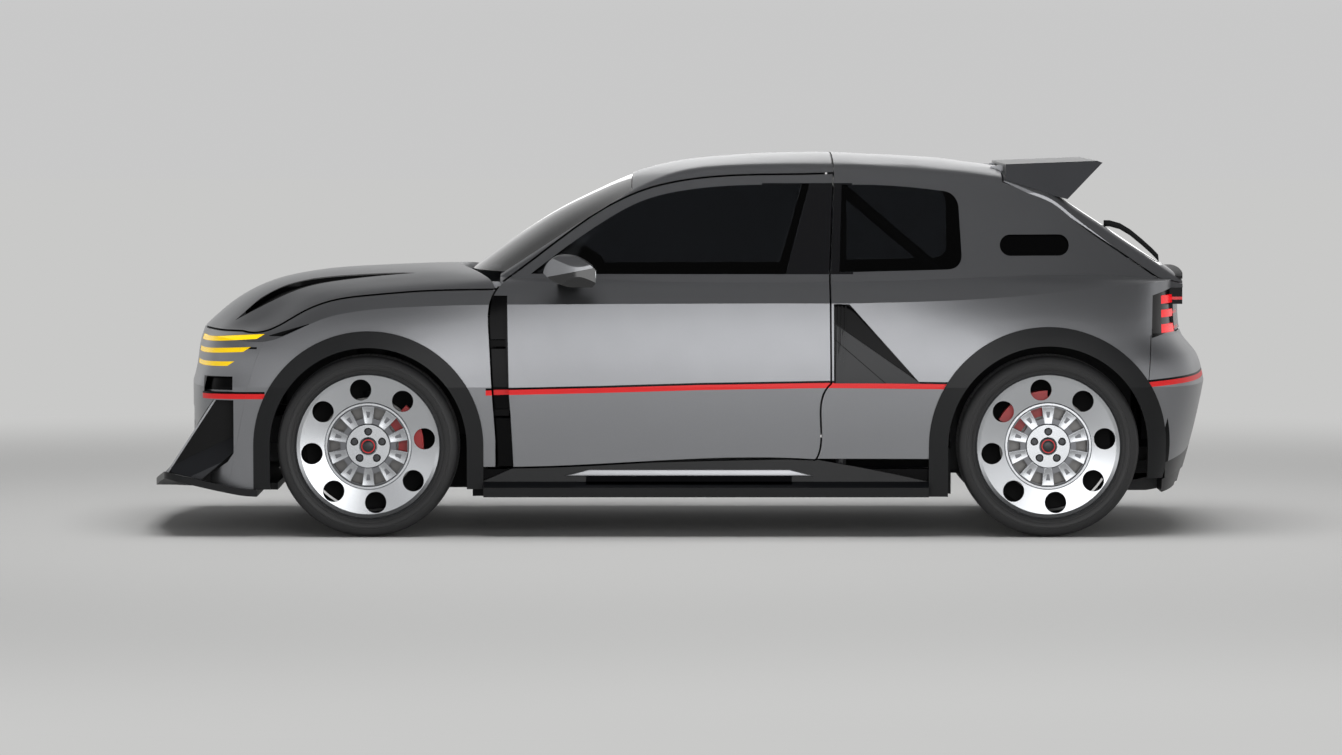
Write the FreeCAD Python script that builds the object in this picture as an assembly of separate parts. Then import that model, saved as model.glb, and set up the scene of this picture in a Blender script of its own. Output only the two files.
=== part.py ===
"""Three-door rally hatchback, built from the panels, glass, cabin and running gear that show.

Millimetres. +X points to the tail, +Y to the car's right, +Z up.
The origin is on the ground, midway between the nose's lip and the tail.
"""
import FreeCAD
import Part

import math
import os

V = FreeCAD.Vector

# Wheels and axles
WHEELBASE = 2540.0
FRONT_AXLE_X = -1174.0
REAR_AXLE_X = FRONT_AXLE_X + WHEELBASE
TRACK = 1600.0
TYRE_RADIUS = 340.0
TYRE_WIDTH = 235.0
RIM_RADIUS = 272.0
HUB_Z = TYRE_RADIUS

# Body heights
SILL_Z = 150.0
STRIPE_Z = 560.0
WALL_TOP_Z = 1000.0
BELT_Z = 965.0
GREENHOUSE_FOOT_Z = 860.0

# Panel thicknesses and gaps
SKIN = 24.0
DOOR_WALL = 100.0
SHOULDER_WALL = 66.0
FRAME_WALL = 44.0
GLASS_SINK = 5.0
GLASS = 7.0
SEAM = 3.0
DOOR_GAP = 7.0
DOOR_STEP = 22.0
CHANNEL_DEPTH = 36.0
LID_GAP = 6.5
SEAT = 0.3

# Kingpins and spindles
KINGPIN_Y = 715.0
KINGPIN_RADIUS = 14.0
SPINDLE = 32.0

# Hinges of the doors, bonnet and tailgate
PIN_FIT = 0.08
DOOR_HINGE_X = -636.0
DOOR_HINGE_Y = -835.0
DOOR_HINGE_HEIGHTS = (460.0, 720.0)
DOOR_PIN_RADIUS = 8.0
DOOR_ARM = 16.0
DOOR_ARM_HEIGHT = 24.0
BONNET_HINGE_X = -702.0
BONNET_HINGE_Z = 930.0
BONNET_PIN_RADIUS = 6.0
BONNET_LUG_Y = -612.0
GATE_HINGE_X = 1205.0
GATE_HINGE_Z = 1372.0
GATE_PIN_RADIUS = 4.5
GATE_HINGE_Y = 300.0
HINGE_LEAF = 16.0

# Recesses and lamps
VENT_DEPTH = 16.0
INTAKE_DEPTH = 45.0
FLAP_DEPTH = 12.0
LAMP_DEPTH = 18.0
SIGN_DEPTH = 6.0
TAIL_LAMP_DEPTH = 46.0

# Tow eye's socket
TOW_X = -1826.0
TOW_DEPTH = 45.0
TOW_Y = -515.0
TOW_Z = 400.0
TOW_RADIUS = 8.0

# Wheel arches
FRONT_LIP_RADIUS = 368.0
FRONT_ARCH_RADIUS = 430.0
REAR_LIP_RADIUS = 374.0
REAR_ARCH_RADIUS = 446.0
WELL_RADIUS = 415.0
FLARE_PROUD = 8.0


def smooth(*points):
    """A smooth function through (position, value) points, level beyond its ends."""
    xs = [p[0] for p in points]
    ys = [p[1] for p in points]
    slopes = []
    for i in range(len(xs)):
        lo, hi = max(i - 1, 0), min(i + 1, len(xs) - 1)
        slopes.append((ys[hi] - ys[lo]) / (xs[hi] - xs[lo]))

    def value(x):
        if x <= xs[0]:
            return ys[0]
        if x >= xs[-1]:
            return ys[-1]
        i = max(k for k in range(len(xs) - 1) if xs[k] <= x)
        h = xs[i + 1] - xs[i]
        t = (x - xs[i]) / h
        a = (1 + 2 * t) * (1 - t) ** 2 * ys[i] + t * (1 - t) ** 2 * h * slopes[i]
        b = t * t * (3 - 2 * t) * ys[i + 1] - t * t * (1 - t) * h * slopes[i + 1]
        return a + b

    return value


def clamped(count):
    """Degree, multiplicities and knots of a clamped spline with that many poles."""
    degree = min(3, count - 1)
    spans = count - degree
    knots = [i / spans for i in range(spans + 1)]
    return degree, [degree + 1] + [1] * (spans - 1) + [degree + 1], knots


def skin_surface(rows, places, ends=None):
    """A surface whose rows pass through their points; across the rows the points are poles."""
    nets = []
    for row in rows:
        curve = Part.BSplineCurve()
        if ends:
            curve.interpolate(Points=row, Parameters=places, InitialTangent=ends[0], FinalTangent=ends[1])
        else:
            curve.interpolate(Points=row, Parameters=places)
        nets.append(curve)
    degree, mults, knots = clamped(len(rows))
    along = nets[0]
    surface = Part.BSplineSurface()
    poles = [curve.getPoles() for curve in nets]
    surface.buildFromPolesMultsKnots(
        poles, mults, along.getMultiplicities(), knots, along.getKnots(), False, False, degree, along.Degree)
    return surface


def closed_solid(faces):
    """One solid from faces whose edges meet."""
    skin = Part.Compound(faces)
    skin.sewShape()
    solid = Part.Solid(skin.Shells[0])
    if solid.Volume < 0:
        solid.reverse()
    return solid


def mirrored(shape):
    return shape.mirror(V(0, 0, 0), V(0, 1, 0))


# The stripe line in plan, from the middle of the nose round the left side to the middle of the tail:
# x, half width, and how far the foot and the crease stand in from it.
PLAN = [
    (-1880, 0, 2, 60),
    (-1865, 330, 2, 60),
    (-1838, 600, 4, 64),
    (-1798, 770, 8, 70),
    (-1714, 862, 14, 66),
    (-1490, 904, 24, 60),
    (-1174, 921, 34, 58),
    (-880, 906, 38, 46),
    (-600, 892, 40, 32),
    (-200, 888, 40, 28),
    (200, 888, 40, 28),
    (550, 890, 40, 28),
    (850, 903, 38, 36),
    (1100, 918, 34, 50),
    (1366, 925, 34, 62),
    (1580, 915, 40, 66),
    (1740, 885, 60, 76),
    (1852, 810, 84, 88),
    (1935, 640, 98, 100),
    (1985, 350, 102, 108),
    (2004, 0, 102, 110),
]

# How the side leans in between the stripe and the top of the wall, for the sides, nose and tail.
RISE = [560, 615, 670, 725, 785, 850, 925, 1000]
SIDE_LEAN = [0.0, 0.04, 0.13, 0.28, 0.5, 0.82, 1.3, 1.9]
NOSE_LEAN = [0.0, 0.28, 0.36, 0.5, 0.9, 1.35, 1.9, 2.5]
TAIL_LEAN = [0.0, 0.1, 0.22, 0.82, 0.93, 0.95, 0.97, 1.0]


def plan_normals():
    """Outward directions of the stripe line at its stations."""
    normals = []
    for i, here in enumerate(PLAN):
        if i in (0, len(PLAN) - 1):
            normals.append(V(-1 if i == 0 else 1, 0, 0))
            continue
        before, after = PLAN[i - 1], PLAN[i + 1]
        along = V(after[0] - before[0], -(after[1] - before[1]), 0)
        normals.append(V(along.y, -along.x, 0).normalize())
    return normals


def lean_at(station, level):
    """How far a level of the upper wall stands in at a station."""
    x = PLAN[station][0]
    nose = min(1.0, max(0.0, (-1500.0 - x) / 330.0))
    tail = min(1.0, max(0.0, (x - 1650.0) / 240.0))
    side = 1.0 - nose - tail
    share = nose * NOSE_LEAN[level] + tail * TAIL_LEAN[level] + side * SIDE_LEAN[level]
    return share * PLAN[station][3]


def wall_places():
    total = [0.0]
    for a, b in zip(PLAN, PLAN[1:]):
        total.append(total[-1] + math.sqrt(math.hypot(b[0] - a[0], b[1] - a[1])))
    return [t / total[-1] for t in total]


def wall_row(inset, z, extra):
    normals = plan_normals()
    row = []
    for i, (x, y, _, _) in enumerate(PLAN):
        point = V(x, -y, z) - normals[i] * (inset + extra(i))
        if i in (0, len(PLAN) - 1):
            point.y = 0.0
        row.append(point)
    return row


def body_wall(inset=0.0, foot=SILL_Z, top=WALL_TOP_Z):
    """The closed band of the body's flanks, nose and tail, moved in by the inset."""
    places = wall_places()
    ends = (V(0, -3000, 0), V(0, 3000, 0))
    drop = STRIPE_Z - foot
    low = []
    for share in (0.0, 0.36, 0.7, 1.0):
        bend = (1 - share) ** 1.3
        low.append(wall_row(inset, foot + drop * share, lambda i: PLAN[i][2] * bend))
    high = [wall_row(inset, z, lambda i: lean_at(i, level)) for level, z in enumerate(RISE)]
    faces = []
    for rows in (low, high):
        left = skin_surface(rows, places, ends).toShape()
        faces.append(left)
        faces.append(mirrored(left))
    for rows in (low[:1], high[-1:]):
        edge = Part.BSplineCurve()
        edge.interpolate(Points=rows[0], Parameters=places, InitialTangent=ends[0], FinalTangent=ends[1])
        left = edge.toShape()
        faces.append(Part.Face(Part.Wire([left, mirrored(left)])))
    return closed_solid(faces)


# The deck: heights of the bonnet, shoulders and rear deck along the car, at distances from the middle.
DECK = [
    (0, smooth((-2100, 560), (-1900, 700), (-1842, 758), (-1792, 808), (-1738, 854), (-1680, 889),
               (-1622, 920), (-1553, 945), (-1475, 962), (-1360, 980), (-1225, 989), (-1089, 995),
               (-850, 1001), (1300, 1001), (1800, 985), (1896, 958), (2100, 940))),
    (260, smooth((-2100, 555), (-1900, 694), (-1792, 798), (-1680, 880), (-1553, 937), (-1360, 973),
                 (-1089, 990), (-850, 997), (1300, 1000), (1800, 985), (1896, 958), (2100, 940))),
    (500, smooth((-2100, 600), (-1900, 690), (-1804, 740), (-1702, 812), (-1592, 884), (-1448, 931),
                 (-1259, 958), (-1069, 975), (-850, 984), (1300, 990), (1896, 955), (2100, 935))),
    (650, smooth((-2100, 640), (-1900, 705), (-1780, 748), (-1702, 768), (-1583, 805), (-1515, 846),
                 (-1440, 888), (-1327, 922), (-1063, 949), (-800, 964), (-600, 972), (1300, 985),
                 (1888, 950), (2100, 930))),
    (740, smooth((-2100, 650), (-1900, 712), (-1780, 748), (-1650, 762), (-1550, 790), (-1432, 855),
                 (-1319, 897), (-1170, 922), (-870, 942), (-600, 958), (0, 972), (1300, 975),
                 (1700, 960), (1888, 940), (2100, 920))),
    (800, smooth((-2100, 660), (-1900, 716), (-1780, 744), (-1650, 754), (-1550, 772), (-1432, 828),
                 (-1319, 874), (-1170, 899), (-870, 917), (-600, 925), (0, 935), (1000, 945),
                 (1500, 950), (1888, 930), (2100, 900))),
    (862, smooth((-2100, 640), (-1900, 700), (-1780, 733), (-1650, 735), (-1550, 745), (-1432, 793),
                 (-1319, 838), (-1170, 865), (-1054, 872), (547, 873), (812, 884), (1185, 897),
                 (1558, 909), (1763, 905), (1900, 895), (2100, 870))),
    (990, smooth((-2100, 560), (-1780, 640), (-1550, 655), (-1319, 740), (-1054, 735), (547, 735),
                 (1185, 765), (1763, 775), (2100, 740))),
]
DECK_X = [-2100 + 95 * i for i in range(45)]


def deck_block(inset=0.0, foot=0.0):
    """Everything under the deck's surface, the full width of the car."""
    columns = [(-y, f) for y, f in reversed(DECK)] + [(y, f) for y, f in DECK[1:]]
    rows = []
    for y, height in columns:
        rows.append([V(x, y, height(x) - inset) for x in DECK_X])
    surface = skin_surface(rows, [float(x) for x in DECK_X])
    return surface.toShape().extrude(V(0, 0, foot - 1400.0)).common(
        Part.makeBox(4400, 2000, 1400 - foot, V(-2150, -1000, foot)))

# The cabin above the belt. Each line runs from the foot of the windscreen to the foot of the rear glass.
DITCH = smooth((-1040, 864), (-900, 870), (-800, 905), (-693, 970), (-538, 1070), (-387, 1168), (-266, 1242),
               (-160, 1306), (-9, 1362), (180, 1384), (558, 1389), (822, 1376), (1049, 1357), (1211, 1338),
               (1405, 1278), (1443, 1250), (1575, 1163), (1688, 1088), (1801, 1013), (1888, 955), (2010, 872))
CROWN = smooth((-1040, 868), (-930, 895), (-819, 980), (-703, 1067), (-587, 1146), (-472, 1217), (-317, 1294),
               (-209, 1342), (-85, 1381), (69, 1406), (301, 1423), (571, 1428), (764, 1420), (996, 1405),
               (1130, 1392), (1239, 1366), (1405, 1294), (1443, 1269), (1575, 1182), (1688, 1107), (1801, 1031),
               (1888, 972), (2010, 880))
RAIL_Y = smooth((-900, 690), (-693, 662), (-461, 634), (-200, 606), (60, 592), (571, 588), (1000, 582),
                (1211, 570), (1405, 566), (1600, 562), (1888, 556), (2010, 550))
BELT_Y = smooth((-900, 700), (-600, 742), (-300, 760), (200, 770), (571, 772), (900, 768), (1200, 752),
                (1450, 720), (1700, 668), (1888, 610), (2010, 560))
CABIN_X = [-1040.0 + 76.25 * i for i in range(41)]


def slope_factor(line, x):
    """How much a sloping roof line's upright distance exceeds its thickness."""
    rise = (line(x + 20.0) - line(x - 20.0)) / 40.0
    return min(1.35, math.hypot(1.0, rise))


def cabin_section(x, inset):
    """Half of one cross-section's control points, from the foot to the middle of the roof."""
    ditch, crown, rail_y, belt_y = DITCH(x), CROWN(x), RAIL_Y(x), BELT_Y(x)
    down = inset * slope_factor(CROWN, x)
    foot_y = belt_y + (belt_y - rail_y) * (BELT_Z - GREENHOUSE_FOOT_Z) / 400.0
    side = inset * 0.92
    points = [(foot_y - side, GREENHOUSE_FOOT_Z - inset)]
    for share in (0.3, 0.62, 0.88):
        points.append((foot_y + (rail_y - foot_y) * share - side,
                       GREENHOUSE_FOOT_Z + (ditch - GREENHOUSE_FOOT_Z) * share - down * share * 0.4))
    points.append((rail_y - side * 0.85, ditch - 6.0 - down * 0.75))
    points.append((rail_y - 46.0 - side * 0.3, ditch + 4.0 - down))
    points.append((rail_y * 0.72, ditch + (crown - ditch) * 0.52 - down))
    points.append((rail_y * 0.36, ditch + (crown - ditch) * 0.96 - down))
    points.append((0.0, crown - down))
    return points


def cabin_block(inset=0.0):
    """The closed form of windows, pillars and roof, moved in by the inset."""
    sections = [cabin_section(x, inset) for x in CABIN_X]
    count = len(sections[0])
    rows = []
    for k in list(range(count)) + list(range(count - 2, -1, -1)):
        side = -1.0 if len(rows) < count else 1.0
        rows.append([V(x, side * section[k][0], section[k][1]) for x, section in zip(CABIN_X, sections)])
    shell = skin_surface(rows, CABIN_X)
    u_last, v_last = shell.getUKnots()[-1], shell.getVKnots()[-1]
    v_first = shell.getVKnots()[0]
    left, right = shell.uIso(0.0).toShape(), shell.uIso(u_last).toShape()
    faces = [shell.toShape()]
    for v in (v_first, v_last):
        arch = shell.vIso(v).toShape()
        faces.append(Part.Face(Part.Wire([arch, Part.makeLine(arch.Vertexes[-1].Point, arch.Vertexes[0].Point)])))
    front = Part.makeLine(left.Vertexes[0].Point, right.Vertexes[0].Point)
    back = Part.makeLine(right.Vertexes[-1].Point, left.Vertexes[-1].Point)
    faces.append(Part.Face(Part.Wire([front, right, back, left])))
    return closed_solid(faces)


def along_side(point):
    return V(point[0], 0, point[1])


def in_plan(point):
    return V(point[0], point[1], 0)


def from_behind(point):
    return V(0, point[0], point[1])


def wire_of(runs, place):
    """A closed wire: a run of two points is straight and a longer one is a smooth curve."""
    edges = []
    for run in runs:
        points = [place(p) for p in run]
        if len(points) == 2:
            edges.append(Part.makeLine(points[0], points[1]))
        else:
            curve = Part.BSplineCurve()
            curve.interpolate(points)
            edges.append(curve.toShape())
    return Part.Wire(edges)


def grown_wire(wire, distance):
    """The wire moved outward, or inward for a negative distance, with its curves drawn again."""
    edges = []
    for edge in wire.makeOffset2D(distance).Edges:
        if isinstance(edge.Curve, (Part.Line, Part.Circle)):
            edges.append(edge)
        else:
            curve = Part.BSplineCurve()
            curve.interpolate(edge.discretize(18))
            edges.append(curve.toShape())
    return Part.Wire(Part.__sortEdges__(edges))


def prism(wire, grow, low, high, along):
    """A wire grown by a distance and extruded between two places along an axis."""
    face = Part.Face(grown_wire(wire, grow) if grow else wire)
    face.translate(along * low)
    return face.extrude(along * (high - low))


def side_prism(runs, y_low, y_high, grow=0.0):
    return prism(wire_of(runs, along_side), grow, y_low, y_high, V(0, 1, 0))


def plan_prism(runs, z_low, z_high, grow=0.0):
    return prism(wire_of(runs, in_plan), grow, z_low, z_high, V(0, 0, 1))


def rear_prism(runs, x_low, x_high, grow=0.0):
    return prism(wire_of(runs, from_behind), grow, x_low, x_high, V(1, 0, 0))


def box(x0, x1, y0, y1, z0, z1):
    return Part.makeBox(x1 - x0, y1 - y0, z1 - z0, V(x0, y0, z0))


def bar(start, end, radius):
    """A round bar or hole from one point to another."""
    a, b = V(*start), V(*end)
    return Part.makeCylinder(radius, (b - a).Length, a, b - a)


def closed(*points):
    """Straight runs round a list of corners."""
    corners = list(points)
    return [[a, b] for a, b in zip(corners, corners[1:] + corners[:1])]


def shift(points, dx, dz):
    return [(x + dx, z + dz) for x, z in points]


def arch(axle_x, radius, y_low=-1000.0, y_high=1000.0):
    """The space of a wheel arch: round above the hub and straight below it."""
    round_part = bar((axle_x, y_low, HUB_Z), (axle_x, y_high, HUB_Z), radius)
    leg = box(axle_x - radius, axle_x + radius, y_low, y_high, 0, HUB_Z)
    return round_part.fuse(leg)


def body_form(inset, shoulder=None, roof=None, foot=SILL_Z):
    """The whole car's outer form moved in: by one inset at the flanks, by others at shoulders and cabin."""
    shoulder = inset if shoulder is None else shoulder
    roof = inset if roof is None else roof
    low = body_wall(inset, foot).common(deck_block(shoulder, foot - 100))
    cabin = cabin_block(roof).common(box(-1100, TAIL_PANEL_X - inset, -900, 900, 0, 1500))
    return low.fuse(cabin)


TAIL_PANEL_X = 1890.0

# Door outline, in side view
DOOR_FRONT = [(-690, 262), (-706, 541), (-718, 760), (-713, 880), (-668, 950)]
DOOR_TOP = [(-668, 950), (-461, 1104), (-292, 1219), (-141, 1290), (0, 1324), (240, 1345), (566, 1352)]
DOOR_REAR_HIGH = [(566, 1352), (549, 974)]
DOOR_REAR_MID = [(549, 974), (552, 575)]
DOOR_REAR_LOW = [(552, 575), (528, 545), (513, 437), (496, 290)]
DOOR_FOOT = [(496, 290), (-307, 273), (-620, 262), (-690, 262)]
DOOR_LINE = [DOOR_FRONT, DOOR_TOP, DOOR_REAR_HIGH, DOOR_REAR_MID, DOOR_REAR_LOW, DOOR_FOOT]
DOOR_GLASS = [[(-570, 978), (-460, 1062), (-300, 1172), (-150, 1252), (0, 1290), (216, 1310), (480, 1316)],
              [(480, 1316), (388, 978)], [(388, 978), (-570, 978)]]
QUARTER_GLASS = [[(600, 1312), (817, 1306), (968, 1290)], [(968, 1290), (1020, 1272), (1040, 1232)],
                 [(1040, 1232), (1048, 1060)], [(1048, 1060), (1036, 1012), (990, 995)],
                 [(990, 995), (588, 985)], [(588, 985), (600, 1312)]]
SEAM_X = 571.0
RAIL_INNER_Y = 530.0

# Bonnet, lamps and tail
BONNET_SIDE = [(-1650, 768), (-1537, 779), (-1432, 837), (-1319, 882), (-1170, 904), (-1000, 918), (-700, 926)]
BONNET_NOSE_Z = 768.0
BONNET_REAR_MIDDLE_X = -856.0
BONNET_REAR_SIDE_X = -704.0
WINDSCREEN_FOOT_Z = 985.0
HEADER_X = -190.0
TAILGATE_TOP_X = 1214.0
TAILGATE_HALF = [(545, 1420), (575, 1280), (600, 965), (560, 940), (560, 762)]

# Shells
OUT = body_form(0.0)
OUT_STEP = body_form(14.0)
HOLLOW = body_form(DOOR_WALL, SHOULDER_WALL, FRAME_WALL, 100.0)
SHELL = OUT.cut(HOLLOW)
LOW = body_wall().common(deck_block())
THIN = LOW.cut(body_wall(SKIN, 100.0).common(deck_block(SKIN)))
CABIN_CLIP = box(-1100, TAIL_PANEL_X, -900, 900, 0, 1500)
CABIN = cabin_block().common(CABIN_CLIP)
GLAZING = cabin_block(GLASS_SINK).common(CABIN_CLIP).cut(cabin_block(GLASS_SINK + GLASS))

nodes = {}


def largest(shape):
    return max(shape.Solids, key=lambda solid: solid.Volume)


def sunk(outline, y_low, y_high, depth):
    """The space of a recess that follows the flank: a side view's outline, a depth below the surface."""
    return side_prism(outline, y_low, y_high).cut(body_wall(depth, 100.0))


def both(name, left):
    """A left piece and its mirror as two nodes."""
    nodes[name + "_left"] = left
    nodes[name + "_right"] = mirrored(left)


def pair(name, left):
    """A left piece and its mirror in one node."""
    nodes[name] = Part.Compound([left, mirrored(left)])


# Doors
HINGE_PILLAR_REAR = -732.0
door = SHELL.common(side_prism(DOOR_LINE, -1000, -200))
door_prism = side_prism(DOOR_LINE, -1000, -200)
door_core = side_prism(DOOR_LINE, -1000, -200, -DOOR_STEP).fuse(box(-800, -560, -1000, -200, 0, 940))
door = door.cut(OUT_STEP.common(door_prism.cut(door_core)))
channel_line = [shift(DOOR_FRONT[:4], -20, 0), [(-733, 880), (-733, 900)], [(-733, 900), (-655, 900)],
                [(-655, 900), (-661, 760), (-649, 541), (-632, 240)], [(-632, 240), (-710, 262)]]
channel = side_prism(channel_line, -1000, -700).cut(body_wall(CHANNEL_DEPTH, 100.0))
door = door.cut(channel).cut(box(-760, -600, -705, -200, 840, 955))
door = door.cut(side_prism(DOOR_GLASS, -1000, -200))
hinge_arms = []
for height in DOOR_HINGE_HEIGHTS:
    low, high = height - DOOR_ARM_HEIGHT / 2, height + DOOR_ARM_HEIGHT / 2
    reach = DOOR_HINGE_Y + 62 + DOOR_ARM
    pin_low, pin_high = height - 2 * DOOR_ARM_HEIGHT, height + 2 * DOOR_ARM_HEIGHT
    pocket = box(DOOR_HINGE_X - 100, DOOR_HINGE_X + 20, DOOR_HINGE_Y - 20, DOOR_HINGE_Y + 110, low - 6, high + 6)
    bore = bar((DOOR_HINGE_X, DOOR_HINGE_Y, pin_low - 2), (DOOR_HINGE_X, DOOR_HINGE_Y, pin_high + 2),
               DOOR_PIN_RADIUS + PIN_FIT)
    door = door.cut([pocket, bore])
    hinge_arms.append(bar((DOOR_HINGE_X, DOOR_HINGE_Y, pin_low), (DOOR_HINGE_X, DOOR_HINGE_Y, pin_high),
                          DOOR_PIN_RADIUS))
    hinge_arms.append(bar((DOOR_HINGE_X, DOOR_HINGE_Y, low), (DOOR_HINGE_X, DOOR_HINGE_Y, high), 13))
    hinge_arms.append(box(DOOR_HINGE_X - 8, DOOR_HINGE_X + 8, DOOR_HINGE_Y, reach, low, high))
    hinge_arms.append(box(HINGE_PILLAR_REAR - 8, DOOR_HINGE_X + 8, reach - DOOR_ARM, reach, low, high))
both("door", largest(door))
both("door_glass", GLAZING.common(side_prism(DOOR_GLASS, -1000, -200, -SEAT)))

# Side frames: pillar and cant rail round the door, hinge pillar with its arms, and sill
PILLAR_INNER_Y = -632.0
DITCH_TOP = [(x, DITCH(x)) for x in (-685, -600, -461, -387, -266, -190, -130, -60, 60, 180, 360, SEAM_X - SEAM)]
PILLAR_FOOT = (-685, 905)
rail_prism = side_prism(
    [[PILLAR_FOOT, DITCH_TOP[0]], DITCH_TOP, [DITCH_TOP[-1], (SEAM_X - SEAM, 1250)],
     [(SEAM_X - SEAM, 1250), (-640, 900)], [(-640, 900), PILLAR_FOOT]], -1000, -RAIL_INNER_Y)
door_room = side_prism(DOOR_LINE, -1000, 0, DOOR_GAP)
rail = SHELL.common(rail_prism).cut(door_room)
flange_top = [(x, z + 52) for x, z in DITCH_TOP if x < HEADER_X - SEAM]
flange_low = [(x, z - 20) for x, z in DITCH_TOP if x < HEADER_X - SEAM]
flange_top.append((HEADER_X - SEAM, DITCH(HEADER_X) + 52))
flange_low.append((HEADER_X - SEAM, DITCH(HEADER_X) - 20))
flange_prism = side_prism(
    [flange_top, [flange_top[-1], flange_low[-1]], list(reversed(flange_low)), [flange_low[0], flange_top[0]]],
    -1000, 0)
flange = cabin_block(GLASS_SINK + GLASS + 1.5).cut(cabin_block(FRAME_WALL)).common(flange_prism).cut(door_room)
hinge_pillar = box(-786, HINGE_PILLAR_REAR, -812, -700, 200, 860)
pillar_link = box(-735, -702, -745, PILLAR_INNER_Y, 600, 820)
pillar_base = box(BONNET_HINGE_X - 16, -640, -672, PILLAR_INNER_Y, 600, 948)
pin_bore = bar((BONNET_HINGE_X, -700, BONNET_HINGE_Z), (BONNET_HINGE_X, -600, BONNET_HINGE_Z),
               BONNET_PIN_RADIUS + PIN_FIT)
sill = box(-786, 990, -828, -700, SILL_Z, 250)
frame_left = rail.fuse([flange, hinge_pillar, pillar_link, pillar_base, sill] + hinge_arms).cut(pin_bore)
both("side_frame", frame_left)

# Scuttle between bonnet and windscreen
SCUTTLE_DROP = SKIN + 30.0
SCUTTLE_HALF = 600.0
nodes["scuttle"] = deck_block(SKIN + 8.0).cut(deck_block(SCUTTLE_DROP)).common(
    box(-900, -690, -SCUTTLE_HALF, SCUTTLE_HALF, 500, 1100))

# Roof panel and windscreen
roof_foot = shift(DITCH_TOP, 0, SEAT)
above_ditch = side_prism(
    [roof_foot, [roof_foot[-1], (SEAM_X - SEAM, 1500)], [(SEAM_X - SEAM, 1500), (-950, 1500)],
     [(-950, 1500), (-950, 960)], [(-950, 960), roof_foot[0]]], -1000, 1000)
header = box(HEADER_X, SEAM_X - SEAM, -1000, 1000, 1000, 1500)
roof = CABIN.cut(cabin_block(36.0)).common(above_ditch).common(header)
nodes["roof"] = roof
nodes["windscreen"] = GLAZING.common(above_ditch).common(
    box(-1100, HEADER_X - SEAM, -1000, 1000, WINDSCREEN_FOOT_Z, 1500))

# Rear body with quarters and the rear of the roof
TAILGATE_LINE = closed(*(TAILGATE_HALF + [(-y, z) for y, z in reversed(TAILGATE_HALF)]))
GATE_SIDE = closed((TAILGATE_TOP_X, 1450), (TAILGATE_TOP_X, 1322), (1400, 1232), (1806, 956), (1780, 900),
                   (1780, 700), (2300, 700), (2300, 1450))
tailgate_room = rear_prism(TAILGATE_LINE, 1100, 2300, LID_GAP).common(
    side_prism(GATE_SIDE, -900, 900, LID_GAP))
rear_region = box(SEAM_X, 2200, -1100, 1100, 292, 1500).fuse(box(440, SEAM_X, -1100, 1100, 292, 1340))
quarter_panes = side_prism(QUARTER_GLASS, -1000, 1000)
BUMPER_LINE = [[(1700, 100), (1745, 640)], [(1745, 640), (1752, 752)], [(1752, 752), (2200, 752)],
               [(2200, 752), (2200, 100)], [(2200, 100), (1700, 100)]]
bumper_room = side_prism(BUMPER_LINE, -1100, 1100)
rear_body = SHELL.common(rear_region).cut(door_room).cut(mirrored(door_room)).cut(
    [arch(REAR_AXLE_X, REAR_ARCH_RADIUS), quarter_panes, tailgate_room, bumper_room])
LAMP_LINE = [[(1762, 900), (1840, 923)], [(1840, 923), (2100, 923)], [(2100, 923), (2100, 758)],
             [(2100, 758), (1757, 758)], [(1757, 758), (1762, 900)]]
lamp_room = side_prism(LAMP_LINE, -1100, -566)
lamp_seat = OUT.cut(body_wall(TAIL_LAMP_DEPTH).common(deck_block(TAIL_LAMP_DEPTH))).common(lamp_room)
INTAKE_REAR = [[(566, 869), (609, 867), (642, 849)], [(642, 849), (866, 598)], [(866, 598), (887, 575)],
               [(887, 575), (566, 575)], [(566, 575), (566, 869)]]
FLAP = closed((602, 773), (887, 575), (566, 575), (572, 640))
recess = sunk(INTAKE_REAR, -1000, -700, INTAKE_DEPTH)
flap = side_prism(FLAP, -1000, -700).common(body_wall(FLAP_DEPTH))
blades = [side_prism(closed((x, 862), (x + 5, 862), (x - 1, 640), (x - 6, 640)), -1000, -700).common(
    body_wall(8.0)) for x in (580, 594, 608)]
recess = recess.cut([flap] + blades)
SIGN_HALF = 39.5
SIGN_LINE = [[(1193 + SIGN_HALF, 1046), (1455 - SIGN_HALF, 1046)],
             [(1455 - SIGN_HALF, 1046), (1443, 1058), (1455, 1085.5), (1443, 1113), (1455 - SIGN_HALF, 1125)],
             [(1455 - SIGN_HALF, 1125), (1193 + SIGN_HALF, 1125)],
             [(1193 + SIGN_HALF, 1125), (1205, 1113), (1193, 1085.5), (1205, 1058), (1193 + SIGN_HALF, 1046)]]
sign_seat = side_prism(SIGN_LINE, -900, -600).cut(cabin_block(SIGN_DEPTH))
ears = []
ear_rooms = []
for y in (GATE_HINGE_Y, -GATE_HINGE_Y - HINGE_LEAF):
    turned = 1 if y > 0 else -1
    far = y + HINGE_LEAF if y > 0 else y
    near = y if y > 0 else y + HINGE_LEAF
    leaf_far = far + turned * (1 + HINGE_LEAF)
    room_end = leaf_far + turned * 6
    ear_rooms.append(box(GATE_HINGE_X - 15, 1300, min(far, room_end), max(far, room_end), 1345, 1500))
    ears.append(bar((GATE_HINGE_X, near, GATE_HINGE_Z), (GATE_HINGE_X, far, GATE_HINGE_Z), 9))
    ears.append(box(GATE_HINGE_X - 29, GATE_HINGE_X, y, y + HINGE_LEAF, 1345, GATE_HINGE_Z + 6))
    ears.append(bar((GATE_HINGE_X, near, GATE_HINGE_Z), (GATE_HINGE_X, leaf_far, GATE_HINGE_Z), GATE_PIN_RADIUS))
rear_body = rear_body.cut([lamp_seat, mirrored(lamp_seat), recess, mirrored(recess), sign_seat,
                           mirrored(sign_seat)] + ear_rooms).fuse(ears)
nodes["rear_body"] = rear_body
pair("quarter_glass", GLAZING.common(side_prism(QUARTER_GLASS, -1000, -10, -SEAT)))
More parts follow.
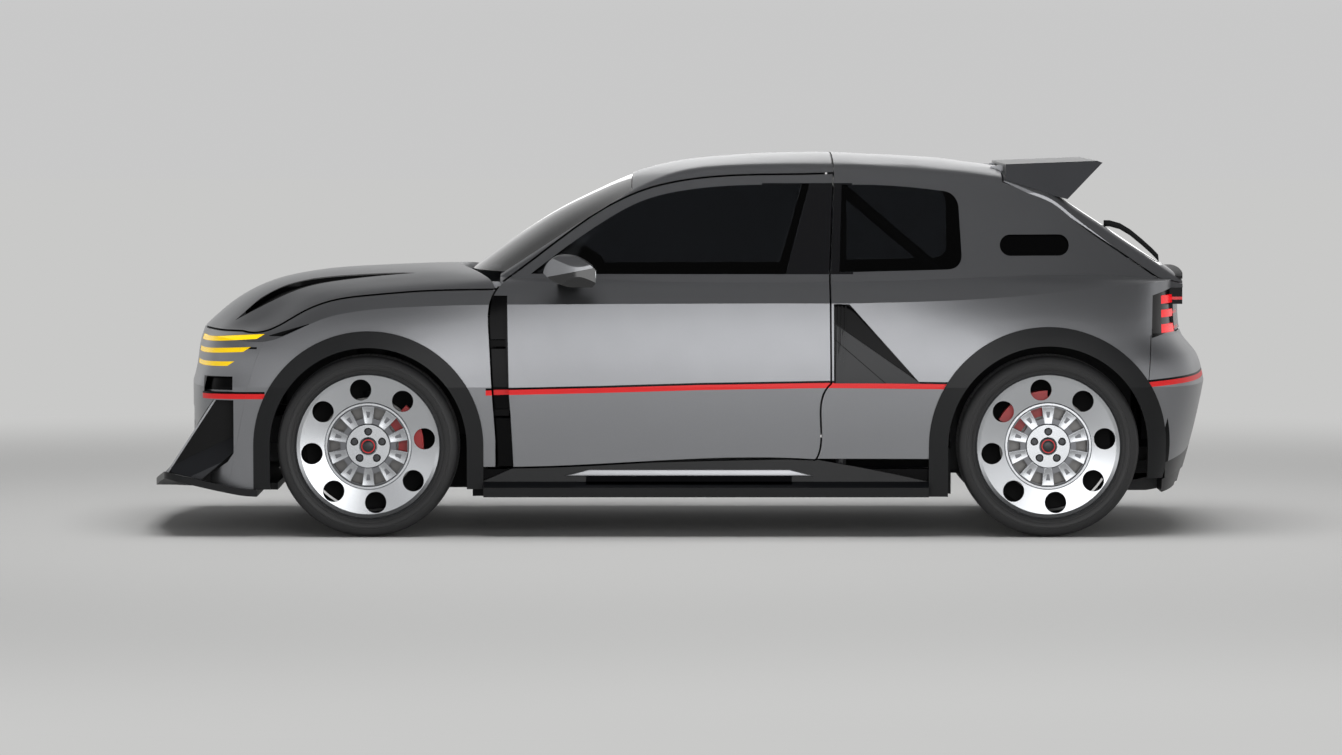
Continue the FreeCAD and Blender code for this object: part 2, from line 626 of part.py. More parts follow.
lamp = body_wall(2.0).common(deck_block(2.0)).cut(body_wall(TAIL_LAMP_DEPTH - SEAT)).common(
    side_prism(LAMP_LINE, -1100, -566 - SEAT, -SEAT))
LAMP_BAND = closed((1796, 700), (2100, 700), (2100, 940), (1800, 940))
between = []
for low, high in ((700, 757), (789, 816), (843, 867), (897, 940)):
    between.append(box(1790, 2100, -1100, -400, low, high))
lens_gap = between[0].fuse(between[1:]).common(side_prism(LAMP_BAND, -1100, -400)).cut(
    body_wall(10.0).common(deck_block(10.0)))
pair("tail_lamps", largest(lamp.cut(lens_gap)))
nodes["rear_bumper"] = THIN.common(side_prism(
    [[(1700 + SEAM, 180), (1745 + SEAM, 640)], [(1745 + SEAM, 640), (1752 + SEAM, 752 - SEAT)],
     [(1752 + SEAM, 752 - SEAT), (2200, 752 - SEAT)], [(2200, 752 - SEAT), (2200, 180)],
     [(2200, 180), (1700 + SEAM, 180)]], -1100, 1100)).cut(arch(REAR_AXLE_X, REAR_ARCH_RADIUS)).cut(
    side_prism(closed((1600, 100), (1600, 184 + SEAT), (1717, 190 + SEAT), (1893, 229 + SEAT),
                      (2200, 238 + SEAT), (2200, 100)), -1100, 1100))
DIFFUSER_SIDE = closed((1640, SILL_Z), (1640, 184), (1717, 190), (1893, 229), (2100, 236), (2100, 196),
                       (1880, 172), (1760, SILL_Z))
diffuser = body_wall(6.0).common(side_prism(DIFFUSER_SIDE, -1000, 1000)).cut(
    arch(REAR_AXLE_X, WELL_RADIUS + 20, -1000, -480)).cut(arch(REAR_AXLE_X, WELL_RADIUS + 20, 480, 1000))
for y in (-480, -250, 0, 250, 480):
    diffuser = diffuser.cut(side_prism(closed((1740, SILL_Z), (1740, 158), (2100, 220), (2100, SILL_Z)),
                                       y + 12, y + 200))
nodes["diffuser"] = diffuser

# Tailgate
gate_prism = rear_prism(TAILGATE_LINE, 1100, 2300).common(side_prism(GATE_SIDE, -900, 900))
REAR_GLASS_LINE = closed((490, 1322), (545, 1006), (-545, 1006), (-490, 1322))
glass_hole = rear_prism(REAR_GLASS_LINE, 1300, 2100)
tailgate = SHELL.common(gate_prism).cut(glass_hole)
for side in (-1, 1):
    inner = side * (GATE_HINGE_Y + HINGE_LEAF + 1)
    outer = inner + side * HINGE_LEAF
    knuckle = bar((GATE_HINGE_X, inner, GATE_HINGE_Z), (GATE_HINGE_X, outer, GATE_HINGE_Z), 9)
    leaf = box(GATE_HINGE_X, GATE_HINGE_X + HINGE_LEAF, min(inner, outer), max(inner, outer), 1352,
               GATE_HINGE_Z + 9)
    pin_room = bar((GATE_HINGE_X, inner - side * 10, GATE_HINGE_Z), (GATE_HINGE_X, outer + side * 10, GATE_HINGE_Z),
                   GATE_PIN_RADIUS + PIN_FIT)
    tailgate = tailgate.fuse(knuckle.fuse(leaf)).cut(pin_room)
nodes["tailgate"] = tailgate
nodes["rear_glass"] = GLAZING.common(rear_prism(REAR_GLASS_LINE, 1300, 2100, -SEAT))

# Roof spoiler
SPOILER_HALF = 561.0
plate = side_prism([[(1222, 1388), (1380, 1394), (1567, 1401)], [(1567, 1401), (1589, 1393)],
                    [(1589, 1393), (1440, 1380), (1350, 1366)], [(1350, 1366), (1320, 1300)],
                    [(1320, 1300), (1222, 1300)], [(1222, 1300), (1222, 1388)]], -SPOILER_HALF, SPOILER_HALF)
fin = side_prism(closed((1224, 1382), (1586, 1393), (1455, 1256), (1400, 1270), (1240, 1326)), -SPOILER_HALF,
                 -SPOILER_HALF + 22)
spoiler = plate.fuse([fin, mirrored(fin)]).cut(cabin_block(-SEAT))
nodes["roof_spoiler"] = spoiler

# Splitter's upper face
SPLITTER_TOP = 178.0 - SEAT
SPLITTER_THICKNESS = 26.0
LIP_START_X = -1620.0
LIP_LIFT = [(0, 0), (320, 4), (560, 34), (700, 52), (820, 68), (960, 80)]


def under_lip(top):
    """Everything under the splitter's upper face, which rises ahead of the wheels and towards the corners."""
    columns = [(-y, lift) for y, lift in reversed(LIP_LIFT)] + [(y, lift) for y, lift in LIP_LIFT[1:]]
    places = [-2100.0 + 50 * i for i in range(15)]
    rows = []
    for y, lift in columns:
        rows.append([V(x, y, top + lift * min(1.0, max(0.0, (LIP_START_X - x) / 340.0)) ** 1.2) for x in places])
    return skin_surface(rows, places).toShape().extrude(V(0, 0, -120))


# Fenders
FENDER_FRONT = [(-1640, 480), (-1600, 640), (-1540, 778)]
BONNET_LINE = [[(-2200, BONNET_NOSE_Z), (-1650, BONNET_NOSE_Z)], BONNET_SIDE, [(-700, 926), (-700, 1200)],
               [(-700, 1200), (-2200, 1200)], [(-2200, 1200), (-2200, BONNET_NOSE_Z)]]
bonnet_room = side_prism(BONNET_LINE, -1100, 1100, LID_GAP)
fender_prism = side_prism(
    [[(-1700, 178), (-1640, 480)], FENDER_FRONT, [FENDER_FRONT[-1], (-1540, 1100)], [(-1540, 1100), (-700, 1100)],
     [(-700, 1100), (-690, 100)], [(-690, 100), (-1300, 100)], [(-1300, 100), (-1300, 178)],
     [(-1300, 178), (-1700, 178)]], -1100, 0)
fender = THIN.common(fender_prism).cut(bonnet_room).cut([arch(FRONT_AXLE_X, FRONT_ARCH_RADIUS), door_room,
                                        box(-700, -590, -1100, 0, 100, 900), box(-900, -600, -900, 0, 100, 262)])
LAMP_TAIL = closed((-1560, 744), (-1535, 757), (-1395, 795), (-1480, 757))
fender = fender.cut([sunk(LAMP_TAIL, -1100, -500, 12.0), under_lip(SPLITTER_TOP + SEAT)])
both("fender", largest(fender))

# Bonnet
bonnet_prism = side_prism(BONNET_LINE, -1100, 1100)
bonnet_plan = plan_prism(
    [[(-2200, -1100), (-2200, 1100)], [(-2200, 1100), (BONNET_REAR_SIDE_X, 1100)],
     [(BONNET_REAR_SIDE_X, 1100), (BONNET_REAR_SIDE_X, 780)],
     [(BONNET_REAR_SIDE_X, 780), (-800, 400), (BONNET_REAR_MIDDLE_X, 0), (-800, -400), (BONNET_REAR_SIDE_X, -780)],
     [(BONNET_REAR_SIDE_X, -780), (BONNET_REAR_SIDE_X, -1100)],
     [(BONNET_REAR_SIDE_X, -1100), (-2200, -1100)]], 0, 1300)
VENT_PLAN = [[(-1690, -566), (-1600, -548), (-1450, -528), (-1250, -512), (-1010, -496)],
             [(-1010, -496), (-1150, -470), (-1330, -430), (-1480, -420), (-1590, -470), (-1690, -566)]]
vent = plan_prism(VENT_PLAN, 700, 1200).cut(deck_block(VENT_DEPTH))
lug_y = (BONNET_LUG_Y - HINGE_LEAF, BONNET_LUG_Y)
lug = side_prism(closed((-790, 962), (-790, 940), (BONNET_HINGE_X, BONNET_HINGE_Z - 10),
                        (BONNET_HINGE_X, BONNET_HINGE_Z + 10), (-745, 950), (-752, 962)), *lug_y)
lug = lug.fuse([bar((BONNET_HINGE_X, lug_y[0], BONNET_HINGE_Z), (BONNET_HINGE_X, lug_y[1], BONNET_HINGE_Z), 10),
                bar((BONNET_HINGE_X, -668, BONNET_HINGE_Z), (BONNET_HINGE_X, lug_y[1], BONNET_HINGE_Z),
                    BONNET_PIN_RADIUS)])
bonnet = THIN.common(bonnet_prism).common(bonnet_plan).cut([vent, mirrored(vent)]).fuse([lug, mirrored(lug)])
nodes["bonnet"] = bonnet

# Front bumper, headlamps, grille and splitter
GRILLE_BACK = 40.0
front_prism = side_prism(
    [[(-2200, 800), (-1540 - SEAT, 800)], [(-1540 - SEAT, 800), (-1540 - SEAT, 778)],
     [(x - SEAT, z) for x, z in reversed(FENDER_FRONT)], [(-1640 - SEAT, 480), (-1700 - SEAT, 178)],
     [(-1700 - SEAT, 178), (-2200, 178)], [(-2200, 178), (-2200, 800)]], -1100, 1100)
INTAKE_LINE = closed((-1757, 511), (-1678, 511), (-1678, 313), (-1701, 279), (-1787, 220), (-1940, 250))
intake = side_prism(INTAKE_LINE, -1000, -560)
SLOT_FRONT = closed((-1794, 541), (-1783, 597), (-1682, 599), (-1682, 541))
LAMP_BARS = [closed((-1950, 718), (-1592, 739), (-1562, 757), (-1950, 738)),
             closed((-1950, 676), (-1642, 691), (-1612, 710), (-1950, 696)),
             closed((-1950, 632), (-1702, 638), (-1674, 656), (-1950, 651))]

bumper = THIN.common(front_prism).cut(bonnet_room).cut([arch(FRONT_AXLE_X, FRONT_ARCH_RADIUS), intake,
                                                        mirrored(intake), under_lip(SPLITTER_TOP + SEAT)])
lamp_core = body_wall(LAMP_DEPTH).common(deck_block(LAMP_DEPTH))
bar_rooms = [side_prism(line, -1100, -440).cut(lamp_core) for line in LAMP_BARS]
bar_rooms.append(sunk(SLOT_FRONT, -1100, -700, LAMP_DEPTH))
grille_room = rear_prism(closed((-430, 250), (430, 250), (470, 470), (-470, 470)), -2000, -1750)
bumper = bumper.cut(bar_rooms + [mirrored(room) for room in bar_rooms]).cut(
    [grille_room, bar((-2000, TOW_Y, TOW_Z), (-1800, TOW_Y, TOW_Z), 22)])
nodes["front_bumper"] = bumper
lamp_form = body_wall(1.0).common(deck_block(1.0)).cut(
    body_wall(LAMP_DEPTH - SEAT).common(deck_block(LAMP_DEPTH - SEAT)))
bars = [lamp_form.common(side_prism(line, -1100, -440 - SEAT, -SEAT)) for line in LAMP_BARS]
nodes["headlamps"] = Part.Compound(bars + [mirrored(one) for one in bars])
slats = [box(-1900, -1815, -428, 428, z, z + 9) for z in range(258, 462, 26)]
slats += [box(-1900, -1815, y, y + 9, 252, 468) for y in range(-400, 401, 80)]
grille = slats[0].fuse(slats[1:]).common(body_wall(4.0, 100.0)).cut(body_wall(GRILLE_BACK, 100.0))
grille_frame = rear_prism(closed((-470, 236), (470, 236), (508, 490), (-508, 490)), -1900, -1790).cut(
    rear_prism(closed((-428, 254), (428, 254), (466, 466), (-466, 466)), -1950, -1700)).common(
    body_wall(SKIN + SEAT, 100.0)).cut(body_wall(GRILLE_BACK + 4, 100.0))
nodes["front_grille"] = grille.fuse(grille_frame)
SPLITTER_PLAN = [[(-2012, -200), (-2012, 0), (-2012, 200)], [(-2012, 200), (-1998, 430), (-1967, 640), (-1944, 800)],
                 [(-1944, 800), (-1926, 866), (-1870, 892)], [(-1870, 892), (-1536, 908)],
                 [(-1536, 908), (-1536, -908)], [(-1536, -908), (-1870, -892)],
                 [(-1870, -892), (-1926, -866), (-1944, -800)], [(-1944, -800), (-1967, -640), (-1998, -430),
                                                                (-2012, -200)]]
splitter = plan_prism(SPLITTER_PLAN, 100, 320).common(under_lip(SPLITTER_TOP)).cut(
    under_lip(SPLITTER_TOP - SPLITTER_THICKNESS)).cut(
    [arch(FRONT_AXLE_X, WELL_RADIUS, -1000, -480), arch(FRONT_AXLE_X, WELL_RADIUS, 480, 1000)])
nodes["splitter"] = largest(splitter)

# Arch flares
def flare(axle_x, lip, edge, foot, rear_foot):
    """A dark band round one arch, proud of the flank."""
    ring = bar((axle_x, -1000, HUB_Z), (axle_x, -780, HUB_Z), edge - SEAT).cut(
        bar((axle_x, -1100, HUB_Z), (axle_x, -700, HUB_Z), lip))
    ring = ring.cut(box(axle_x - 600, axle_x + 600, -1100, -700, 0, HUB_Z))
    front = box(axle_x - edge + SEAT, axle_x - lip, -1000, -780, foot, HUB_Z)
    rear = box(axle_x + lip, axle_x + edge - SEAT, -1000, -780, rear_foot, HUB_Z)
    return body_wall(-FLARE_PROUD).cut(body_wall(30.0, 100.0)).common(ring.fuse([front, rear]))


flares = [flare(FRONT_AXLE_X, FRONT_LIP_RADIUS, FRONT_ARCH_RADIUS, 178, 178),
          flare(REAR_AXLE_X, REAR_LIP_RADIUS, REAR_ARCH_RADIUS, 150, 216)]
nodes["arch_flares"] = Part.Compound(flares + [mirrored(f) for f in flares])

# Side skirts
SKIRT_FRONT_X = FRONT_AXLE_X + FRONT_ARCH_RADIUS + SEAT
SKIRT_REAR_X = REAR_AXLE_X - REAR_ARCH_RADIUS - SEAT
SKIRT_LINE = [[(SKIRT_FRONT_X, SILL_Z), (SKIRT_REAR_X, SILL_Z)], [(SKIRT_REAR_X, SILL_Z), (SKIRT_REAR_X, 205)],
              [(SKIRT_REAR_X, 205), (735, 245), (549, 279)], [(549, 279), (490, 290)],
              [(490, 290), (-307, 272), (-620, 262)], [(-620, 262), (SKIRT_FRONT_X, 208)],
              [(SKIRT_FRONT_X, 208), (SKIRT_FRONT_X, SILL_Z)]]
skirt_section = closed((-828 - SEAT, SILL_Z), (-915, SILL_Z), (-918, 186), (-868, 206), (-862, 300),
                       (-828 - SEAT, 300))
skirt = rear_prism(skirt_section, -800, 1000).common(side_prism(SKIRT_LINE, -1000, -700)).cut(door_room)
pair("side_skirts", skirt)

# Floor and inner structure
BEAM_X = -1798.0
floor = box(-690, 1010, -699.7, 699.7, SILL_Z, 178).fuse([
    box(-1500, -690, -460, 460, SILL_Z + 10, 178), box(1010, 1800, -470, 470, 215, 240),
    box(985, 1010, -699.7, 699.7, 178, 320), box(-675.7, 985, -120, 120, 178, 300)])
floor = floor.cut(box(-1600, 1000, -90, 90, 0, 262))
nodes["floor_pan"] = floor
bulkhead = box(-700, -676, PILLAR_INNER_Y + SEAT, -PILLAR_INNER_Y - SEAT, 178 + SEAT, 880).fuse(
    box(-700, -676, -SCUTTLE_HALF, SCUTTLE_HALF, 870, 1000).common(deck_block(SCUTTLE_DROP + SEAT)))
rails = [box(BEAM_X, -700, y, y + 60, 330, 430) for y in (-470, 410)]
towers = [bar((FRONT_AXLE_X + 20, y, 640), (FRONT_AXLE_X + 20, y, 800), 80) for y in (-480, 480)]
wings = [box(-1500, -700, y, y + 18, 422, 800) for y in (-484, 466)]
beam = box(BEAM_X, BEAM_X + 40, -560, 560, 330, 430)
tow_boss = bar((TOW_X, TOW_Y, TOW_Z), (BEAM_X + 30, TOW_Y, TOW_Z), 16)
tow_hole = bar((TOW_X - 1, TOW_Y, TOW_Z), (TOW_X + TOW_DEPTH, TOW_Y, TOW_Z), TOW_RADIUS)
arms = []
for low in (176, 520):
    arms.append(Part.makeCylinder(26, 20, V(FRONT_AXLE_X, -KINGPIN_Y, low - 2)))
    arms.append(box(FRONT_AXLE_X - 20, FRONT_AXLE_X + 20, -705, -465, low, low + 16))
arms.append(box(FRONT_AXLE_X - 21, FRONT_AXLE_X + 21, -482, -462, 170, 440))
kingpin_hole = Part.makeCylinder(KINGPIN_RADIUS + 0.08, 500, V(FRONT_AXLE_X, -KINGPIN_Y, 120))
arm_left = arms[0].fuse(arms[1:]).cut(kingpin_hole)
front = bulkhead.fuse([arm_left, mirrored(arm_left)] + rails + towers + wings + [beam, tow_boss]).cut(tow_hole)
nodes["front_structure"] = front
nodes["power_unit"] = box(-1480, -860, -330, 330, 178 + SEAT, 700)
rear_tub = box(1010 + SEAT, 1034, -640, 640, 240, 700).fuse([
    box(1034, 1840, -470, 470, 240 + SEAT, 262), box(1034, 1700, -492, -478, 240 + SEAT, 800),
    box(1034, 1700, 478, 492, 240 + SEAT, 800), box(1020, 1030, -640, 640, 240, 640)])
rear_tub = rear_tub.cut(box(REAR_AXLE_X - 50, REAR_AXLE_X + 50, -500, 500, 262, 420))
nodes["rear_structure"] = rear_tub

# Cabin
DASH_HALF = 630.0
dash = side_prism([[(-675.7, 620), (-675.7, 880)], [(-675.7, 880), (-560, 900), (-430, 880), (-380, 820)],
                   [(-380, 820), (-400, 740)], [(-400, 740), (-675.7, 620)]], -DASH_HALF, DASH_HALF)
wheel_axis = V(180, 0, 60).normalize()
rim_centre = V(-263.3, -360, 858.8)
hub_start = rim_centre - wheel_axis * 26.0
column = Part.makeCylinder(28, 190, hub_start - wheel_axis * (190 + SEAT), wheel_axis)
nodes["dashboard"] = dash.fuse(column)
ring = Part.makeTorus(175, 15, rim_centre, wheel_axis)
boss = Part.makeCylinder(50, 24, rim_centre - wheel_axis * 12, wheel_axis)
spoke = Part.makeBox(350, 24, 14, V(-175, -12, -7))
spoke.Placement = FreeCAD.Placement(rim_centre, FreeCAD.Rotation(V(0, 0, 1), wheel_axis))
spoke2 = Part.makeBox(175, 24, 14, V(0, -12, -7))
spoke2.Placement = FreeCAD.Placement(rim_centre, FreeCAD.Rotation(V(0, 0, 1), wheel_axis))
hub_end = Part.makeCylinder(30, 18, hub_start, wheel_axis)
nodes["steering_wheel"] = ring.fuse([boss, spoke, spoke2, hub_end])


def seat(y):
    base = side_prism([[(-130, 178 + SEAT), (420, 178 + SEAT)], [(420, 178 + SEAT), (400, 300)],
                       [(400, 300), (430, 420), (560, 980)], [(560, 980), (470, 1010)],
                       [(470, 1010), (340, 560), (300, 430)], [(300, 430), (60, 400), (-150, 440)],
                       [(-150, 440), (-170, 300)], [(-170, 300), (-130, 178 + SEAT)]], y - 240, y + 240)
    hollow = side_prism([[(-300, 470), (60, 415), (315, 445)], [(315, 445), (365, 600), (500, 1100)],
                         [(500, 1100), (-300, 1100)], [(-300, 1100), (-300, 470)]], y - 190, y + 190)
    return base.cut(hollow)


nodes["seats"] = Part.Compound([seat(-360), seat(360)])
TUBE = 20.0


def tube_run(points, radius):
    pieces = []
    for a, b in zip(points, points[1:]):
        pieces.append(bar(a, b, radius))
    for p in points[1:-1]:
        pieces.append(Part.makeSphere(radius + 1.5, V(*p)))
    return pieces


hoop = [(600, -560, 178 + SEAT), (600, -560, 1150), (600, -480, 1310), (600, 480, 1310), (600, 560, 1150),
        (600, 560, 178 + SEAT)]
stays = [[(600, side * 470, 1300), (1300, side * 440, 700), (1300, side * 440, 262 + SEAT)] for side in (-1, 1)]
cage = tube_run(hoop, TUBE) + tube_run([(600, -540, 1160), (600, 540, 420)], TUBE)
for s in stays:
    cage += tube_run(s, TUBE)
nodes["roll_cage"] = cage[0].fuse(cage[1:])

# Wheels
WINDOW_CIRCLE = 212.0
WINDOW_RADIUS = 40.0
BOLT_CIRCLE = 54.0
TYRE_FACETS = 60


def revolved(section, y_centre, x):
    """A ring from a half section of (radius, distance outward) corners, about the wheel's axle."""
    points = [V(x + r, y_centre - d, HUB_Z) for r, d in section]
    face = Part.Face(Part.makePolygon(points + points[:1]))
    return face.revolve(V(x, y_centre, HUB_Z), V(0, 1, 0), 360)


def tyre(x):
    """A ring of flat facets, whose flats lie on the true radii and whose lowest one lies on the ground."""
    half = TYRE_WIDTH / 2
    section = [(RIM_RADIUS + SEAT, -half + 14), (RIM_RADIUS + 18, -half + 4), (TYRE_RADIUS - 45, -half),
               (TYRE_RADIUS - 14, -half + 7), (TYRE_RADIUS - 3, -half + 24), (TYRE_RADIUS, -half + 50),
               (TYRE_RADIUS, half - 50), (TYRE_RADIUS - 3, half - 24), (TYRE_RADIUS - 14, half - 7),
               (TYRE_RADIUS - 45, half), (RIM_RADIUS + 18, half - 4), (RIM_RADIUS + SEAT, half - 14)]
    step = math.pi / TYRE_FACETS
    rings = []
    for i in range(TYRE_FACETS):
        a = (2 * i + 1) * step
        rings.append([V(x + r / math.cos(step) * math.cos(a), -TRACK / 2 - d,
                        HUB_Z + r / math.cos(step) * math.sin(a)) for r, d in section])
    faces = []
    for i, ring in enumerate(rings):
        ahead = rings[i - 1]
        for j in range(len(section)):
            corners = [ring[j], ring[j - 1], ahead[j - 1], ahead[j]]
            faces.append(Part.Face(Part.makePolygon(corners + corners[:1])))
    return closed_solid(faces)


def wheel(x):
    half = TYRE_WIDTH / 2
    y = -TRACK / 2
    barrel = revolved([(RIM_RADIUS, -half + 14), (RIM_RADIUS, half - 14), (RIM_RADIUS - 6, half - 8),
                       (RIM_RADIUS - 18, half - 14), (RIM_RADIUS - 16, -half + 14)], y, x)
    face = revolved([(0, 96), (30, 96), (34, 90), (80, 90), (84, 84), (150, 84), (153, 90), (160, 90), (164, 84),
                     (RIM_RADIUS - 15, 100), (RIM_RADIUS - 15, 74), (165, 56), (110, 56), (80, 60), (0, 60)], y, x)
    holes = []
    for degrees in (7.5, 52.5, 97.5, 142.5, 187.5, 232.5, 277.5, 322.5):
        a = math.radians(degrees)
        cx, cz = x + WINDOW_CIRCLE * math.cos(a), HUB_Z + WINDOW_CIRCLE * math.sin(a)
        holes.append(bar((cx, y - 200, cz), (cx, y + 20, cz), WINDOW_RADIUS))
    window = side_prism(closed((104, -13), (146, -24), (146, 24), (104, 13)), y - 200, y + 20)
    for i in range(10):
        copy = window.copy()
        copy.translate(V(x, 0, HUB_Z))
        copy.rotate(V(x, y, HUB_Z), V(0, 1, 0), 36 * i)
        holes.append(copy)
    for i in range(5):
        a = math.radians(72 * i + 90)
        cx, cz = x + BOLT_CIRCLE * math.cos(a), HUB_Z + BOLT_CIRCLE * math.sin(a)
        holes.append(bar((cx, y - 200, cz), (cx, y - 78, cz), 10))
    hub = revolved([(0, 60), (75, 60), (75, 20), (SPINDLE + 0.05, 20), (SPINDLE + 0.05, 50), (0, 50)], y, x)
    disc = revolved([(76, 20), (178, 20), (178, -8), (SPINDLE + 0.05, -8), (SPINDLE + 0.05, 20)], y, x)
    return barrel.fuse([face.cut(holes), hub, disc])


for place, x in (("front", FRONT_AXLE_X), ("rear", REAR_AXLE_X)):
    both("wheel_" + place, wheel(x))
    both("tyre_" + place, tyre(x))


def caliper(x, start):
    """A block over the disc's edge, between two angles."""
    y = -TRACK / 2
    outer = revolved([(112, 34), (205, 34), (205, -24), (112, -24)], y, x)
    slot = revolved([(100, 22.5), (184, 22.5), (184, -10.5), (100, -10.5)], y, x)
    wedge = Part.makeCylinder(400, 300, V(x, y + 150, HUB_Z), V(0, -1, 0), 62)
    wedge.rotate(V(x, y, HUB_Z), V(0, 1, 0), start)
    return outer.cut(slot).common(wedge)


def knuckle_set(x, caliper_start):
    y = -TRACK / 2
    back = box(x - 60, x + 60, y + 62, y + 96, HUB_Z - 60, HUB_Z + 60)
    upright = box(x - 30, x + 30, y + 70, y + 100, 205, 510)
    spindle = bar((x, y + 96, HUB_Z), (x, y - 45, HUB_Z), SPINDLE)
    grip = caliper(x, caliper_start)
    link = revolved([(40, -20), (150, -20), (150, -66), (40, -66)], y, x)
    wedge = Part.makeCylinder(400, 300, V(x, y + 150, HUB_Z), V(0, -1, 0), 50)
    wedge.rotate(V(x, y, HUB_Z), V(0, 1, 0), caliper_start)
    return back.fuse([upright, spindle, grip, link.common(wedge)])


# Knuckles and rear axle
front_knuckle = knuckle_set(FRONT_AXLE_X, -75)
for z in (186, 512):
    stub = bar((FRONT_AXLE_X, -KINGPIN_Y, z - 16), (FRONT_AXLE_X, -KINGPIN_Y, z + 26), KINGPIN_RADIUS)
    front_knuckle = front_knuckle.fuse(stub)
both("knuckle", front_knuckle)
rear_knuckle = knuckle_set(REAR_AXLE_X, 180)
rear_beam = box(REAR_AXLE_X - 40, REAR_AXLE_X + 40, -705, 705, 262 + SEAT, 330)
nodes["rear_axle"] = rear_knuckle.fuse([mirrored(rear_knuckle), rear_beam])

# Mirrors
MIRROR_SIDE = [[(-519, 988), (-500, 1029), (-470, 1050), (-418, 1055), (-374, 1040), (-325, 1004)],
               [(-325, 1004), (-325, 948)], [(-325, 948), (-336, 936)], [(-336, 936), (-411, 936)],
               [(-411, 936), (-463, 950), (-519, 988)]]
MIRROR_PLAN = [[(-300, -992), (-400, -1001), (-470, -985), (-522, -930), (-505, -868), (-440, -836)],
               [(-440, -836), (-300, -828)], [(-300, -828), (-300, -992)]]
MIRROR_REAR = [[(-985, 930), (-1001, 975), (-996, 1025), (-962, 1052), (-900, 1058), (-842, 1046), (-824, 1000),
                (-830, 950), (-850, 930)], [(-850, 930), (-985, 930)]]
mirror = side_prism(MIRROR_SIDE, -1100, -700).common(plan_prism(MIRROR_PLAN, 800, 1200)).common(
    rear_prism(MIRROR_REAR, -700, -200))
arm = side_prism(closed((-470, 945), (-390, 945), (-380, 966), (-450, 966)), -880, -770)
mirror = largest(mirror.fuse(arm).cut(SHELL))
both("mirror", mirror)

os.makedirs("parts", exist_ok=True)
for name, shape in nodes.items():
    shape.exportStep("parts/" + name + ".step")
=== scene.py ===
import math
import bpy
from mathutils import Matrix, Vector


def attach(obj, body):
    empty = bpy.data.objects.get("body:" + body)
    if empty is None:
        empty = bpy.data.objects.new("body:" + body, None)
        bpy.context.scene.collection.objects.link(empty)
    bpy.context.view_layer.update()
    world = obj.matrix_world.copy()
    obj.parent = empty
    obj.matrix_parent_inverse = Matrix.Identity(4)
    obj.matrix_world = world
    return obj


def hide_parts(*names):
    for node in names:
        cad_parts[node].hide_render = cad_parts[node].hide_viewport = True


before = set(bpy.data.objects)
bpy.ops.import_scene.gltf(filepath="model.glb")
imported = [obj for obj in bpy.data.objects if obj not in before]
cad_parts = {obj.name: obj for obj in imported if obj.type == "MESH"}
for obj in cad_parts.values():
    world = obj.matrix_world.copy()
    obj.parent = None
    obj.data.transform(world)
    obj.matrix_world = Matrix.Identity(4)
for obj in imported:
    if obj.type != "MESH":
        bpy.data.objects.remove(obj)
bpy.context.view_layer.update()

# Camera
# The car is seen square from its left side, far off, through a long lens held a little above the bonnet.
CAMERA_PLACE = (-0.043, -25.9, 1.75)
CAMERA_PITCH = 2.64
CAMERA_LENS = 179.9

camera = bpy.data.objects.new("camera", bpy.data.cameras.new("camera"))
camera.data.lens = CAMERA_LENS
camera.data.sensor_width = 36.0
camera.location = CAMERA_PLACE
camera.rotation_euler = (math.radians(90.0 - CAMERA_PITCH), 0.0, 0.0)
bpy.context.scene.collection.objects.link(camera)
bpy.context.scene.camera = camera

# Studio
# A plain pale floor in a studio whose walls are bright low down and dim overhead, so that the panels'
# crowns go dark and their flanks stay light. Soft lamps light both sides, and one overhead the floor.
FLOOR_SIZE = 160.0
FLOOR_COLOUR = "#c4c4c3"
BACKGROUND = "#c9c9c8"
# Metres from the car over which the floor runs out into the plain background.
FLOOR_FADE = (3.6, 8.5)
# Each wall's grey by direction: 0 is straight down, 0.5 the horizon and 1 straight up.
NEAR_WALL = ((0.0, 0.58), (0.5, 0.58), (0.51, 1.05), (0.535, 1.45), (0.575, 1.25), (0.62, 0.60), (0.70, 0.17),
             (0.80, 0.08), (1.0, 0.06))
FAR_WALL = ((0.0, 0.58), (0.507, 0.58), (0.518, 0.85), (0.58, 0.75), (0.67, 0.50), (0.76, 0.26), (0.85, 0.10),
            (1.0, 0.06))
# The far wall gives way to the near one between these two crossways directions.
WALL_TURN = (0.35, -0.25)
# Name, place, width in metres, watts, and whether paint and glass mirror the lamp.
LAMPS = (("side_lamp", (1.0, -9.0, 1.9), 4.0, 120.0, True), ("far_lamp", (1.0, 9.0, 2.6), 4.0, 60.0, True),
         ("ceiling_lamp", (0.0, -1.0, 7.5), 7.0, 620.0, False))
LAMP_AIM = (0.0, 0.0, 0.6)


def linear(code):
    """An sRGB hex colour as linear red, green, blue and alpha."""
    channels = [int(code[i:i + 2], 16) / 255.0 for i in (1, 3, 5)]
    return tuple(c / 12.92 if c <= 0.04045 else ((c + 0.055) / 1.055) ** 2.4 for c in channels) + (1.0,)


def add(tree, kind, sockets=None, **settings):
    """Adds a node. Each socket is given a value, or another node's output to link to."""
    node = tree.nodes.new("ShaderNode" + kind)
    for setting, value in settings.items():
        setattr(node, setting, value)
    for socket, value in (sockets or {}).items():
        if isinstance(value, bpy.types.NodeSocket):
            tree.links.new(value, node.inputs[socket])
        else:
            node.inputs[socket].default_value = value
    return node


def table_of(tree, factor, stops):
    """Grey levels that go straight from stop to stop."""
    node = add(tree, "ValToRGB", {"Fac": factor})
    elements = node.color_ramp.elements
    while len(elements) < len(stops):
        elements.new(0.5)
    for element, (place, level) in zip(elements, stops):
        element.position = place
        element.color = (level, level, level, 1.0)
    return node.outputs["Color"]


